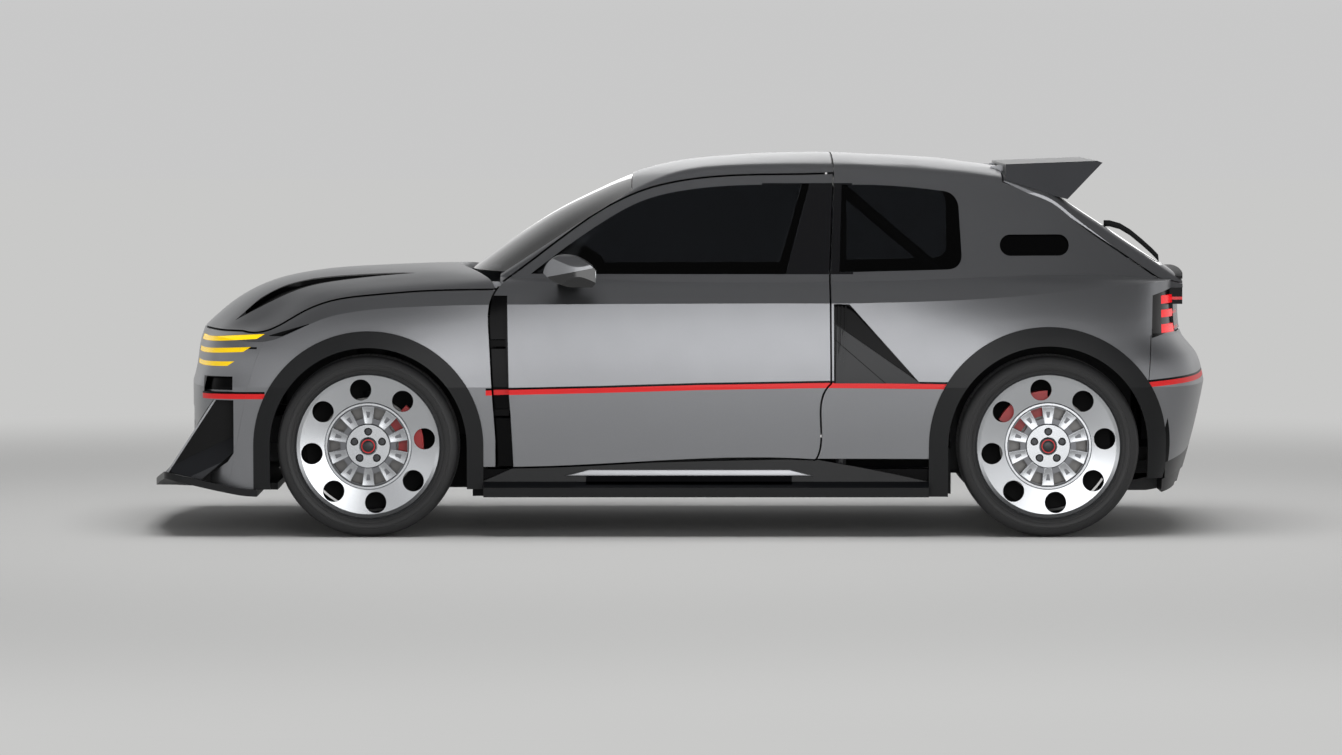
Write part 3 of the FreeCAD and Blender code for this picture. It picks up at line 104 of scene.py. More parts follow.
bpy.context.scene.view_settings.view_transform = "Standard"
world = bpy.data.worlds.new("studio_walls")
bpy.context.scene.world = world
world.use_nodes = True
sky = world.node_tree
sky.nodes.clear()
direction = add(sky, "TexCoord")
height = add(sky, "SeparateXYZ", {0: direction.outputs["Generated"]})
rise = add(sky, "MapRange", {"Value": height.outputs["Z"], "From Min": -1.0, "From Max": 1.0})
facing = add(sky, "MapRange", {"Value": height.outputs["Y"], "From Min": WALL_TURN[0],
                               "From Max": WALL_TURN[1]})
far_grey = table_of(sky, rise.outputs["Result"], FAR_WALL)
near_grey = table_of(sky, rise.outputs["Result"], NEAR_WALL)
walls = add(sky, "Mix", {0: facing.outputs["Result"], 6: far_grey, 7: near_grey}, data_type="RGBA")
dome = add(sky, "Background", {"Color": walls.outputs[2], "Strength": 1.0})
add(sky, "OutputWorld", {"Surface": dome.outputs[0]})


def alone():
    """Nothing stays selected, so that the next step works on its own piece only."""
    bpy.ops.object.select_all(action="DESELECT")


alone()
bpy.ops.mesh.primitive_plane_add(size=FLOOR_SIZE, location=(0.0, 0.0, 0.0))
floor = bpy.context.object
floor.name = "floor"
floor_paint = bpy.data.materials.new("matt_floor_paint")
floor_paint.use_nodes = True
ground = floor_paint.node_tree
floor_shader = ground.nodes["Principled BSDF"]
floor_shader.inputs["Base Color"].default_value = linear(FLOOR_COLOUR)
floor_shader.inputs["Roughness"].default_value = 0.9
# Away from the car the floor runs out into the plain background for the camera, mirrors and glass.
floor_place = add(ground, "TexCoord")
far = add(ground, "VectorMath", {0: floor_place.outputs["Object"]}, operation="LENGTH")
fade = add(ground, "MapRange", {"Value": far.outputs["Value"], "From Min": FLOOR_FADE[0],
                                "From Max": FLOOR_FADE[1]}, interpolation_type="SMOOTHSTEP")
ground_rays = add(ground, "LightPath")
seen = add(ground, "Math", {0: ground_rays.outputs["Is Camera Ray"],
                            1: ground_rays.outputs["Is Transmission Ray"]}, operation="MAXIMUM")
seen = add(ground, "Math", {0: seen.outputs[0], 1: ground_rays.outputs["Is Glossy Ray"]}, operation="MAXIMUM")
share = add(ground, "Math", {0: seen.outputs[0], 1: fade.outputs["Result"]}, operation="MULTIPLY")
haze = add(ground, "Emission", {"Color": linear(BACKGROUND), "Strength": 1.0})
floor_mix = add(ground, "MixShader", {0: share.outputs[0], 1: floor_shader.outputs[0], 2: haze.outputs[0]})
ground.links.new(floor_mix.outputs[0], ground.nodes["Material Output"].inputs["Surface"])
floor.data.materials.append(floor_paint)

for lamp_name, lamp_place, lamp_width, lamp_watts, mirrored_in_paint in LAMPS:
    lamp = bpy.data.objects.new(lamp_name, bpy.data.lights.new(lamp_name, "AREA"))
    lamp.data.size = lamp_width
    lamp.data.energy = lamp_watts
    lamp.visible_glossy = mirrored_in_paint
    lamp.location = lamp_place
    aim = Vector(LAMP_AIM) - Vector(lamp_place)
    lamp.rotation_euler = aim.to_track_quat("-Z", "Y").to_euler()
    bpy.context.scene.collection.objects.link(lamp)

# Painted shell
# Pressed and moulded panels in satin metallic paint, a neutral dark grey with fine flake under clear coat.
# A red line runs round the flanks and the tail, with a thin black line above it that is painted shade of a
# groove. Wheel arches are lined in black, and slots, channels and intakes are painted black inside as shade.
PAINT_GREY = "#86878a"
STRIPE_RED = "#f20009"
SHADE_LINE_BLACK = "#0b0b0c"
# Black that takes no light: painted shade inside the slots, channels, intakes and recesses, and plain black
# elsewhere, such as the lamp ends.
BLACK_AND_PAINTED_SHADE = "#0a0a0b"
LINER_BLACK = "#0e0e0f"
PILLAR_BLACK = "#141416"
PAINT_METALLIC = 0.85
PAINT_ROUGHNESS = 0.34
# Flake is well under 0.1 mm across; drawn at 1.2 mm so that it still shows.
FLAKE_MM = 1.2
FLAKE_RELIEF_MM = 0.02
STRIPE_WIDTH = 0.019
# The black line above the red one is painted shade of a groove; this is its width.
SHADE_LINE_WIDTH = 0.008
STRIPE_LOW = 0.50
STRIPE_SPAN = 0.10
STRIPE_LINE = ((-1.80, 0.5240), (-1.565, 0.5255), (-0.721, 0.5390), (-0.308, 0.5480), (0.065, 0.5590),
               (0.546, 0.5670), (0.978, 0.5630), (1.738, 0.5690), (1.990, 0.5900))
# The line shows on the nose, on the doors and quarters, and from STRIPE_TAIL on round the tail. Between the
# nose and the tail it keeps to the outer skin, past SKIN_HALF from the middle.
STRIPE_RUNS = ((-1.800, -1.560), (-0.735, 0.990))
STRIPE_TAIL = 1.730
SKIN_HALF = 0.83
NOSE_END = -1.30
TAIL_START = 1.70
WINDOW_HEIGHTS = (0.9785, 1.3180)
# The skin's inner faces, inboard of this, show past the tyres, out to these distances from the axles.
LINER_INBOARD = 0.820
LINER_REACH = {"front": 0.450, "rear": 0.462}
SILL_FOOT_TOP = 0.256
SILL_FOOT_RUN = (-0.80, 1.0)
# Gloss drifts a twentieth either way over patches about a tenth of a metre across.
CLOUD_SCALE = 9.0
GLOSS_DRIFT = 0.05
RELIEF_STRENGTH = 0.35
COAT_ROUGHNESS = 0.12
CAR_HALF = 2.1
AXLES_X = {"front": -1.174, "rear": 1.366}
HUB_Z = 0.340
WHEEL_Y = 0.800


class Surface:
    """A material whose colour, gloss and relief follow a fine grain and a slow cloudiness."""

    def __init__(self, name, colour, metallic, roughness, grain_mm, relief_mm, spread=0.12, coat=0.0,
                 shine=0.5):
        self.material = bpy.data.materials.new(name)
        self.material.use_nodes = True
        self.tree = self.material.node_tree
        self.shader = self.tree.nodes["Principled BSDF"]
        self.place = add(self.tree, "TexCoord").outputs["Object"]
        axes = add(self.tree, "SeparateXYZ", {0: self.place})
        self.x, self.y, self.z = axes.outputs["X"], axes.outputs["Y"], axes.outputs["Z"]
        grain = add(self.tree, "TexNoise", {"Vector": self.place, "Scale": 1000.0 / grain_mm, "Detail": 3.0})
        cloud = add(self.tree, "TexNoise", {"Vector": self.place, "Scale": CLOUD_SCALE, "Detail": 2.0})
        base = linear(colour)
        dark = tuple(c * (1.0 - spread) for c in base[:3]) + (1.0,)
        light = tuple(min(1.0, c * (1.0 + spread)) for c in base[:3]) + (1.0,)
        self.colour = add(self.tree, "Mix", {0: grain.outputs["Fac"], 6: dark, 7: light},
                          data_type="RGBA").outputs[2]
        self.roughness = add(self.tree, "MapRange", {
            "Value": cloud.outputs["Fac"], "To Min": roughness * (1.0 - GLOSS_DRIFT),
            "To Max": roughness * (1.0 + GLOSS_DRIFT)}).outputs["Result"]
        self.metallic = None
        self.metallic_level = metallic
        relief = add(self.tree, "Bump", {"Height": grain.outputs["Fac"], "Strength": RELIEF_STRENGTH,
                                         "Distance": relief_mm / 1000.0})
        self.tree.links.new(relief.outputs["Normal"], self.shader.inputs["Normal"])
        self.shader.inputs["Metallic"].default_value = metallic
        self.shader.inputs["Specular IOR Level"].default_value = shine
        self.shader.inputs["Coat Weight"].default_value = coat
        self.shader.inputs["Coat Roughness"].default_value = COAT_ROUGHNESS
        self.link()

    def link(self):
        """The colour and gloss as they now stand reach the shader."""
        self.tree.links.new(self.colour, self.shader.inputs["Base Color"])
        self.tree.links.new(self.roughness, self.shader.inputs["Roughness"])
        if self.metallic:
            self.tree.links.new(self.metallic, self.shader.inputs["Metallic"])

    def math(self, operation, *values):
        """One step of arithmetic, between numbers or other nodes' outputs."""
        return add(self.tree, "Math", dict(enumerate(values)), operation=operation).outputs[0]

    def band(self, value, low, high):
        """One where the value is between low and high."""
        return self.math("COMPARE", value, (low + high) / 2.0, (high - low) / 2.0)

    def under(self, across, up, start, end):
        """One where up is less than on the straight line through two points, in a plan or a side view."""
        slope = (end[1] - start[1]) / (end[0] - start[0])
        line = self.math("MULTIPLY_ADD", across, slope, start[1] - slope * start[0])
        return self.math("LESS_THAN", up, line)

    def below(self, start, end):
        """One under a straight line in the side view."""
        return self.under(self.x, self.z, start, end)

    def but_not(self, mask):
        """One where the mask is nought."""
        return self.math("SUBTRACT", 1.0, mask)

    def all_of(self, *masks):
        """One where every mask is one."""
        result = masks[0]
        for mask in masks[1:]:
            result = self.math("MULTIPLY", result, mask)
        return result

    def any_of(self, *masks):
        """One where some mask is one."""
        result = masks[0]
        for mask in masks[1:]:
            result = self.math("MAXIMUM", result, mask)
        return result

    def length(self, one, other):
        """How long the step is that goes this far one way and that far square to it."""
        return self.math("SQRT", self.math("ADD", self.math("MULTIPLY", one, one),
                                           self.math("MULTIPLY", other, other)))

    def from_axle(self, end):
        """Distance from one axle's line."""
        across = self.math("SUBTRACT", self.x, AXLES_X[end])
        up = self.math("SUBTRACT", self.z, HUB_Z)
        return self.length(across, up)

    def cover(self, mask, colour, roughness, metallic=1.0):
        """Another finish wherever the mask is one."""
        self.colour = add(self.tree, "Mix", {0: mask, 6: self.colour, 7: linear(colour)},
                          data_type="RGBA").outputs[2]
        self.roughness = add(self.tree, "Mix", {0: mask, 2: self.roughness, 3: roughness}).outputs[0]
        below = self.metallic if self.metallic else self.metallic_level
        self.metallic = add(self.tree, "Mix", {0: mask, 2: below, 3: metallic}).outputs[0]
        self.link()

    def stripe(self):
        """The red line, and above it a black line painted as the shade of a groove, by height along the car.
        """
        along = add(self.tree, "MapRange", {"Value": self.x, "From Min": -CAR_HALF, "From Max": CAR_HALF})
        stops = [((x + CAR_HALF) / (2 * CAR_HALF), (z - STRIPE_LOW) / STRIPE_SPAN) for x, z in STRIPE_LINE]
        rise = table_of(self.tree, along.outputs["Result"], stops)
        line = self.math("MULTIPLY_ADD", rise, STRIPE_SPAN, STRIPE_LOW)
        runs = self.any_of(*[self.band(self.x, *run) for run in STRIPE_RUNS],
                           self.math("GREATER_THAN", self.x, STRIPE_TAIL))
        outside = self.math("GREATER_THAN", self.math("ABSOLUTE", self.y), SKIN_HALF)
        ends = self.any_of(self.math("LESS_THAN", self.x, NOSE_END),
                           self.math("GREATER_THAN", self.x, TAIL_START))
        where = self.all_of(runs, self.any_of(outside, ends))
        above = self.math("SUBTRACT", self.z, line)
        groove_shade = self.band(above, STRIPE_WIDTH / 2, STRIPE_WIDTH / 2 + SHADE_LINE_WIDTH)
        red = self.band(above, -STRIPE_WIDTH / 2, STRIPE_WIDTH / 2)
        # Painted shade: a black line over the red one stands for the shade in a groove.
        self.cover(self.all_of(where, groove_shade), SHADE_LINE_BLACK, 0.5)
        self.cover(self.all_of(where, red), STRIPE_RED, 0.50, 0.0)

    def pillar(self, front, back):
        """Gloss black on the pillar between the side windows, up to their top edge."""
        here = self.all_of(self.band(self.x, front, back), self.band(self.z, *WINDOW_HEIGHTS))
        self.cover(here, PILLAR_BLACK, 0.15, 0.0)

    def liners(self):
        """Black inside the wheel arches, where the panels' inner faces show past the tyres."""
        inboard = self.math("LESS_THAN", self.math("ABSOLUTE", self.y), LINER_INBOARD)
        near = self.any_of(*[self.math("LESS_THAN", self.from_axle(end), reach)
                             for end, reach in LINER_REACH.items()])
        self.cover(self.all_of(inboard, near), LINER_BLACK, 0.7)
        foot = self.all_of(self.math("LESS_THAN", self.z, SILL_FOOT_TOP), self.band(self.x, *SILL_FOOT_RUN))
        self.cover(foot, LINER_BLACK, 0.6)


def dress(surface, *nodes):
    """Puts a material on CAD nodes, whose shapes stay as they are."""
    for node in nodes:
        node_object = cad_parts[node]
        node_object.data.materials.clear()
        node_object.data.materials.append(surface.material)


def paint(name):
    """The body's finish, for one panel or group of panels."""
    surface = Surface(name, PAINT_GREY, PAINT_METALLIC, PAINT_ROUGHNESS, FLAKE_MM, FLAKE_RELIEF_MM,
                      spread=0.10, coat=0.12)
    surface.liners()
    return surface


# The doors' front edge is a sunk channel behind the wheel, painted black inside as shade. Its back line goes
# through these heights and places along the car, and the masks overlap by a hair.
CHANNEL_FOOT = (0.240, -0.6315)
CHANNEL_BEND = (0.541, -0.6485)
CHANNEL_TOP = (0.900, -0.6555)
HAIR = 0.0005
DOOR_PILLAR = (0.300, 0.600)
door_paint = paint("satin_metallic_paint_door")
upper_channel = door_paint.all_of(door_paint.math("GREATER_THAN", door_paint.z, CHANNEL_BEND[0]),
                                  door_paint.under(door_paint.z, door_paint.x, CHANNEL_BEND, CHANNEL_TOP))
lower_channel = door_paint.all_of(door_paint.math("LESS_THAN", door_paint.z, CHANNEL_BEND[0] + HAIR),
                                  door_paint.under(door_paint.z, door_paint.x, CHANNEL_FOOT, CHANNEL_BEND))
under_window = door_paint.math("LESS_THAN", door_paint.z, CHANNEL_TOP[0] + HAIR)
# Painted shade: the channel is black inside.
door_paint.cover(door_paint.all_of(door_paint.any_of(upper_channel, lower_channel), under_window),
                 BLACK_AND_PAINTED_SHADE, 0.4)
door_paint.pillar(*DOOR_PILLAR)
door_paint.stripe()
dress(door_paint, "door_left", "door_right")

# The rear bumper's foot is black, and so is the strip under each tail lamp.
BUMPER_FOOT = ((1.700, 0.236), (1.930, 0.312))
BUMPER_FOOT_BLACK = "#1b1c1e"
LAMP_FOOT = ((1.756, 0.741), (1.876, 0.775))
LAMP_FOOT_RUN = (1.7565, 1.868)
LAMP_FOOT_HEIGHTS = (0.735, 0.775)
LAMP_FOOT_INNER = 0.52
bumper_paint = paint("satin_metallic_paint_rear_bumper")
bumper_paint.stripe()
bumper_paint.cover(bumper_paint.below(*BUMPER_FOOT), BUMPER_FOOT_BLACK, 0.4, 0.3)


def lamp_foot(surface):
    """Black between the tail lamp and the slanting line under it."""
    outboard = surface.math("GREATER_THAN", surface.math("ABSOLUTE", surface.y), LAMP_FOOT_INNER)
    over_line = surface.but_not(surface.below(*LAMP_FOOT))
    place = surface.all_of(over_line, surface.band(surface.x, *LAMP_FOOT_RUN),
                           surface.band(surface.z, *LAMP_FOOT_HEIGHTS), outboard)
    surface.cover(place, BLACK_AND_PAINTED_SHADE, 0.3)


lamp_foot(bumper_paint)
dress(bumper_paint, "rear_bumper")

# A fine seam crosses the roof, with a black band painted over it as the shade in the seam. The tail lamps'
# black ends, with thin red lines, run on over the tailgate.
ROOF_SEAM = (0.5640, 0.5725)
BAR_HEIGHTS = ((0.7565, 0.7895), (0.8155, 0.8435), (0.8665, 0.8975))
GATE_LAMP_INNER = 0.370
GATE_LAMP_FRONT = 1.82
GATE_LAMP_HEIGHTS = (0.7625, 0.9235)
THIN_BAR_HALF = 0.0055
THIN_BAR_RED = "#f0141f"
roof_paint = paint("satin_metallic_paint_roof")
# Painted shade: a black band along the roof seam.
roof_paint.cover(roof_paint.band(roof_paint.x, *ROOF_SEAM), SHADE_LINE_BLACK, 0.6)
dress(roof_paint, "roof")
gate_paint = paint("satin_metallic_paint_tailgate")
from_middle = gate_paint.math("ABSOLUTE", gate_paint.y)
gate_side = gate_paint.all_of(gate_paint.math("GREATER_THAN", from_middle, GATE_LAMP_INNER),
                              gate_paint.math("GREATER_THAN", gate_paint.x, GATE_LAMP_FRONT))
gate_paint.cover(gate_paint.all_of(gate_side, gate_paint.band(gate_paint.z, *GATE_LAMP_HEIGHTS)),
                 BLACK_AND_PAINTED_SHADE, 0.25)
bar_middles = [(low + high) / 2 for low, high in BAR_HEIGHTS]
thin_bars = gate_paint.any_of(*[gate_paint.band(gate_paint.z, middle - THIN_BAR_HALF, middle + THIN_BAR_HALF)
                                for middle in bar_middles])
gate_paint.cover(gate_paint.all_of(gate_side, thin_bars), THIN_BAR_RED, 0.3, 0.0)
dress(gate_paint, "tailgate")

# The slots in the bonnet are painted black inside as shade, between these two lines in the plan.
VENT_OUTER = ((-1.690, 0.5665), (-1.010, 0.4965))
VENT_INNER = ((-1.690, 0.566), (-1.600, 0.462), (-1.500, 0.404), (-1.400, 0.388), (-1.300, 0.402),
              (-1.150, 0.436), (-1.060, 0.462), (-1.010, 0.496))
bonnet_paint = paint("satin_metallic_paint_bonnet")
width = bonnet_paint.math("ABSOLUTE", bonnet_paint.y)
outer_side = bonnet_paint.under(bonnet_paint.x, width, *VENT_OUTER)
in_vent = []
for near, far_end in zip(VENT_INNER, VENT_INNER[1:]):
    past_inner = bonnet_paint.but_not(bonnet_paint.under(bonnet_paint.x, width, near, far_end))
    in_vent.append(bonnet_paint.all_of(bonnet_paint.band(bonnet_paint.x, near[0], far_end[0]), past_inner))
# Painted shade: the slots' floors and walls are black.
bonnet_paint.cover(bonnet_paint.all_of(outer_side, bonnet_paint.any_of(*in_vent)), BLACK_AND_PAINTED_SHADE, 0.6)
dress(bonnet_paint, "bonnet")

# The side frames are black on the pillar between the windows, and behind the doors' channel they are
# painted black as the shade in it.
BODY_PILLAR = (0.450, 0.640)
FRAME_CHANNEL_BACK = -0.600
FRAME_CHANNEL_TOP = 0.930
side_paint = paint("satin_metallic_paint_side_frame")
side_paint.pillar(*BODY_PILLAR)
side_paint.stripe()
# Painted shade: black on the side frame where it shows in the doors' channel.
side_paint.cover(side_paint.all_of(side_paint.math("LESS_THAN", side_paint.x, FRAME_CHANNEL_BACK),
                                   side_paint.math("LESS_THAN", side_paint.z, FRAME_CHANNEL_TOP)),
                 BLACK_AND_PAINTED_SHADE, 0.5)
dress(side_paint, "side_frame_left", "side_frame_right")

# The intake behind each door is painted black as shade round its painted flap. On each rear pillar a plain
# pill-shaped panel is let in, gloss black.
PILL_CENTRE = (1.324, 1.0855)
PILL_RADIUS = 0.0395
PILL_STRAIGHT = 0.0915
PILL_BLACK = "#060607"
QUARTER_INTAKE_RUN = (0.5655, 0.8875)
QUARTER_INTAKE_HEIGHTS = (0.5745, 0.8695)
QUARTER_INTAKE_SLOPE = ((0.642, 0.8495), (0.887, 0.5755))
QUARTER_FLAP_GREY = "#1f2022"
QUARTER_FLAP_TOP = ((0.602, 0.773), (0.887, 0.575))
QUARTER_FLAP_FRONT = 0.573
QUARTER_FOLD_TOP = ((0.560, 0.7475), (0.735, 0.5965))
QUARTER_FOLD_FOOT = ((0.560, 0.7435), (0.735, 0.5925))
rear_paint = paint("satin_metallic_paint_quarter")
rear_paint.pillar(*BODY_PILLAR)
rear_paint.stripe()
in_intake = rear_paint.all_of(rear_paint.band(rear_paint.x, *QUARTER_INTAKE_RUN),
                              rear_paint.band(rear_paint.z, *QUARTER_INTAKE_HEIGHTS),
                              rear_paint.below(*QUARTER_INTAKE_SLOPE))
under_flap = rear_paint.all_of(rear_paint.below(*QUARTER_FLAP_TOP),
                               rear_paint.math("GREATER_THAN", rear_paint.x, QUARTER_FLAP_FRONT))
rear_paint.cover(in_intake, QUARTER_FLAP_GREY, 0.4, 0.4)
# Painted shade: black inside the intake, round the flap.
rear_paint.cover(rear_paint.all_of(in_intake, rear_paint.but_not(under_flap)), BLACK_AND_PAINTED_SHADE, 0.45)
# Painted shade: a thin black line along the fold inside the intake.
fold_shade = rear_paint.all_of(rear_paint.below(*QUARTER_FOLD_TOP),
                         rear_paint.but_not(rear_paint.below(*QUARTER_FOLD_FOOT)), in_intake)
rear_paint.cover(fold_shade, SHADE_LINE_BLACK, 0.5)
along_pill = rear_paint.math("ABSOLUTE", rear_paint.math("SUBTRACT", rear_paint.x, PILL_CENTRE[0]))
past_straight = rear_paint.math("MAXIMUM", rear_paint.math("SUBTRACT", along_pill, PILL_STRAIGHT), 0.0)
up_pill = rear_paint.math("SUBTRACT", rear_paint.z, PILL_CENTRE[1])
from_pill = rear_paint.length(past_straight, up_pill)
rear_paint.cover(rear_paint.math("LESS_THAN", from_pill, PILL_RADIUS), PILL_BLACK, 0.22, 0.6)
lamp_foot(rear_paint)
dress(rear_paint, "rear_body")

# Behind the lamp bars the panel runs out in a black wedge, and the small side slot is painted black as the
# shade inside it.
WEDGE_TOP = ((-1.560, 0.7480), (-1.394, 0.7970))
WEDGE_FOOT = ((-1.480, 0.7565), (-1.394, 0.7945))
WEDGE_RUN = (-1.545, -1.394)
WEDGE_LOW = 0.750
SLOT_RUN = (-1.7945, -1.6815)
SLOT_HEIGHTS = (0.5480, 0.5995)
BAR_TAIL_RUN = (-1.6420, -1.5900)
BAR_TAIL_HEIGHTS = (0.7020, 0.7095)
nose_paint = paint("satin_metallic_paint_nose")
nose_paint.stripe()
wedge = nose_paint.all_of(nose_paint.below(*WEDGE_TOP), nose_paint.but_not(nose_paint.below(*WEDGE_FOOT)),
                          nose_paint.band(nose_paint.x, *WEDGE_RUN),
                          nose_paint.math("GREATER_THAN", nose_paint.z, WEDGE_LOW))
# Painted shade: the side slot is black inside.
slot_shade = nose_paint.all_of(nose_paint.band(nose_paint.x, *SLOT_RUN),
                              nose_paint.band(nose_paint.z, *SLOT_HEIGHTS))
bar_tail = nose_paint.all_of(nose_paint.band(nose_paint.x, *BAR_TAIL_RUN),
                             nose_paint.band(nose_paint.z, *BAR_TAIL_HEIGHTS))
nose_paint.cover(nose_paint.any_of(wedge, slot_shade, bar_tail), BLACK_AND_PAINTED_SHADE, 0.4)
dress(nose_paint, "fender_left", "fender_right", "front_bumper")

# Black plastic outside
# Arch bands, sill blades, splitter, diffuser and spoiler are moulded in satin black with a fine texture,
# which gives a soft grey sheen on their edges. The scuttle and the nose grille are plainer and more matt.
MOULDING_BLACK = "#111214"
SKIRT_RECESS_RUN = (-0.361, 0.409)
SKIRT_RECESS_HEIGHTS = (0.196, 0.228)
skirt_black = Surface("satin_black_skirt", MOULDING_BLACK, 0.0, 0.38, 1.5, 0.05, shine=0.28)
# Painted shade: the skirt's long recess is blacker than the moulding round it.
skirt_recess = skirt_black.all_of(skirt_black.band(skirt_black.x, *SKIRT_RECESS_RUN),
                                  skirt_black.band(skirt_black.z, *SKIRT_RECESS_HEIGHTS))
skirt_black.cover(skirt_recess, BLACK_AND_PAINTED_SHADE, 0.4)
dress(skirt_black, "side_skirts")
cladding = Surface("satin_black_moulding", MOULDING_BLACK, 0.0, 0.38, 1.5, 0.05, shine=0.28)
dress(cladding, "splitter", "arch_flares", "diffuser")
wing = Surface("satin_grey_moulding", "#26272a", 0.6, 0.4, 1.5, 0.03)
dress(wing, "roof_spoiler")
trim = Surface("matt_black_moulding", "#111213", 0.0, 0.55, 1.2, 0.08, shine=0.25)
dress(trim, "scuttle", "front_grille")

# Glass
# Toughened safety glass, tinted so dark that the cabin shows only as shapes, and polished so smooth that it
# mirrors the studio.
GLASS_TINT = "#434548"
glass = Surface("tinted_glass", GLASS_TINT, 0.0, 0.02, 400.0, 0.0, spread=0.04)
glass.shader.inputs["Transmission Weight"].default_value = 1.0
glass.shader.inputs["IOR"].default_value = 1.4
dress(glass, "windscreen", "rear_glass", "quarter_glass", "door_glass_left", "door_glass_right")

# Lamps
# Each headlamp is three clear yellow bars set flush in the nose; each tail lamp is a black lens with three
# red bars behind its smooth face. Both are shown lit, softly.
head_lens = Surface("yellow_lamp_acrylic", "#e8c000", 0.0, 0.25, 3.0, 0.02, spread=0.06, shine=0.3)
head_lens.shader.inputs["Emission Color"].default_value = linear("#f2c800")
head_lens.shader.inputs["Emission Strength"].default_value = 0.45
dress(head_lens, "headlamps")
tail_lens = Surface("red_lamp_acrylic", "#0c0a0b", 0.0, 0.2, 3.0, 0.02, shine=0.3)
in_bars = tail_lens.any_of(*[tail_lens.band(tail_lens.z, low, high) for low, high in BAR_HEIGHTS])
LENS_LIT_FROM = 1.797
lit = tail_lens.all_of(in_bars, tail_lens.math("GREATER_THAN", tail_lens.x, LENS_LIT_FROM))
tail_lens.cover(lit, "#e3101c", 0.25, 0.0)
glow = add(tail_lens.tree, "Mix", {0: lit, 6: (0.0, 0.0, 0.0, 1.0), 7: linear("#ff1420")}, data_type="RGBA")
tail_lens.tree.links.new(glow.outputs[2], tail_lens.shader.inputs["Emission Color"])
tail_lens.shader.inputs["Emission Strength"].default_value = 0.5
dress(tail_lens, "tail_lamps")

# Underbody, engine and cage
# The floor and inner structure are pressed steel in semi-matt black, the engine stand-in is rough cast iron,
# and the welded cage is grey enamelled tube.
chassis = Surface("semi_matt_chassis_paint", "#191a1c", 0.0, 0.6, 2.0, 0.15, shine=0.3)
dress(chassis, "floor_pan", "front_structure", "rear_structure")
casting = Surface("cast_iron", "#3f3e3d", 0.8, 0.6, 2.5, 0.4, spread=0.25)
dress(casting, "power_unit")
enamel = Surface("grey_tube_enamel", "#8b8c90", 0.0, 0.35, 3.0, 0.03, coat=0.3)
dress(enamel, "roll_cage")

# Hubs and brakes
# Machined iron uprights carry red-painted calipers, which grip the discs behind the spokes.
CALIPER_RED = "#d0141a"
CALIPER_INNER_FACE = 0.7745
CALIPER_FROM_AXLE = 0.105
for end, nodes in (("front", ("knuckle_left", "knuckle_right")), ("rear", ("rear_axle",))):
    iron = Surface("machined_iron_" + end, "#4b4b4d", 0.9, 0.45, 1.5, 0.08, spread=0.2)
    outboard = iron.math("GREATER_THAN", iron.math("ABSOLUTE", iron.y), CALIPER_INNER_FACE)
    far_out = iron.math("GREATER_THAN", iron.from_axle(end), CALIPER_FROM_AXLE)
    iron.cover(iron.all_of(outboard, far_out), CALIPER_RED, 0.3, 0.0)
    dress(iron, *nodes)

# Wheels
# Cast alloy wheels turned bright on the face, with round windows and a ring of slots; the wells, the barrel
# and the dished middle are left darker, and the iron disc shows between the spokes.
BOLTS = 5
BOLT_CIRCLE = 0.054
BOLT_WELL = 0.0150
# The ring of bolts starts with one straight up, a quarter turn on.
FIRST_BOLT = 0.25
MIDDLE_DISH = (0.083, 0.1510)
WELL_DEPTH = 0.853
DISC_RADIUS = 0.1785
DISC_DEPTH = 0.821
for end in ("front", "rear"):
    for side in ("left", "right"):
        alloy = Surface("turned_alloy_" + end + "_" + side, "#bcbec1", 1.0, 0.26, 0.8, 0.02, spread=0.06)
        out = alloy.math("ABSOLUTE", alloy.y)
        radius = alloy.from_axle(end)
        alloy.cover(alloy.band(radius, *MIDDLE_DISH), "#6a6b6e", 0.34)
        alloy.cover(alloy.math("LESS_THAN", out, WELL_DEPTH), "#232426", 0.5, 0.4)
        disc = alloy.all_of(alloy.math("LESS_THAN", radius, DISC_RADIUS),
                            alloy.math("LESS_THAN", out, DISC_DEPTH))
        alloy.cover(disc, "#6b6a69", 0.35)
        # Each bolt sits in a round dark well.
        turn = alloy.math("ARCTAN2", alloy.math("SUBTRACT", alloy.z, HUB_Z),
                          alloy.math("SUBTRACT", alloy.x, AXLES_X[end]))
        part = alloy.math("FRACT", alloy.math("MULTIPLY_ADD", turn, BOLTS / math.tau, FIRST_BOLT))
        along_ring = alloy.math("MULTIPLY", alloy.math("SUBTRACT", part, 0.5), math.tau / BOLTS * BOLT_CIRCLE)
        off_ring = alloy.math("SUBTRACT", radius, BOLT_CIRCLE)
        from_bolt = alloy.length(along_ring, off_ring)
        alloy.cover(alloy.math("LESS_THAN", from_bolt, BOLT_WELL), "#1c1c1d", 0.4, 0.6)
        dress(alloy, "wheel_%s_%s" % (end, side))

# Wheel stars
# Ten bright facets stand between the slots of each wheel, like the blades of a fan, turned from the casting.
STAR_SPOKES = 10
STAR_INNER = 0.0845
STAR_OUTER = 0.1490
STAR_FACE = 0.8842
STAR_STEP = 360.0 / STAR_SPOKES
STAR_SLOT_HALF = 6.0
STAR_START = 9.0
STAR_RIM = 0.0015
STAR_HEIGHT = 0.0020
STAR_CREST = 0.0035


def settle():
    """The selected piece's place, turn and size go into its mesh."""
    bpy.ops.object.transform_apply(location=True, rotation=True, scale=True)


def choose(piece, test):
    """Opens the piece for editing with only the faces selected whose centre and normal pass the test."""
    if bpy.context.mode != "OBJECT":
        bpy.ops.object.mode_set(mode="OBJECT")
    bpy.context.tool_settings.mesh_select_mode = (False, False, True)
    mesh = piece.data
    for parts in (mesh.vertices, mesh.edges, mesh.polygons):
        parts.foreach_set("select", [False] * len(parts))
    for face in mesh.polygons:
        face.select = bool(test(face.center, face.normal))
    bpy.ops.object.mode_set(mode="EDIT")


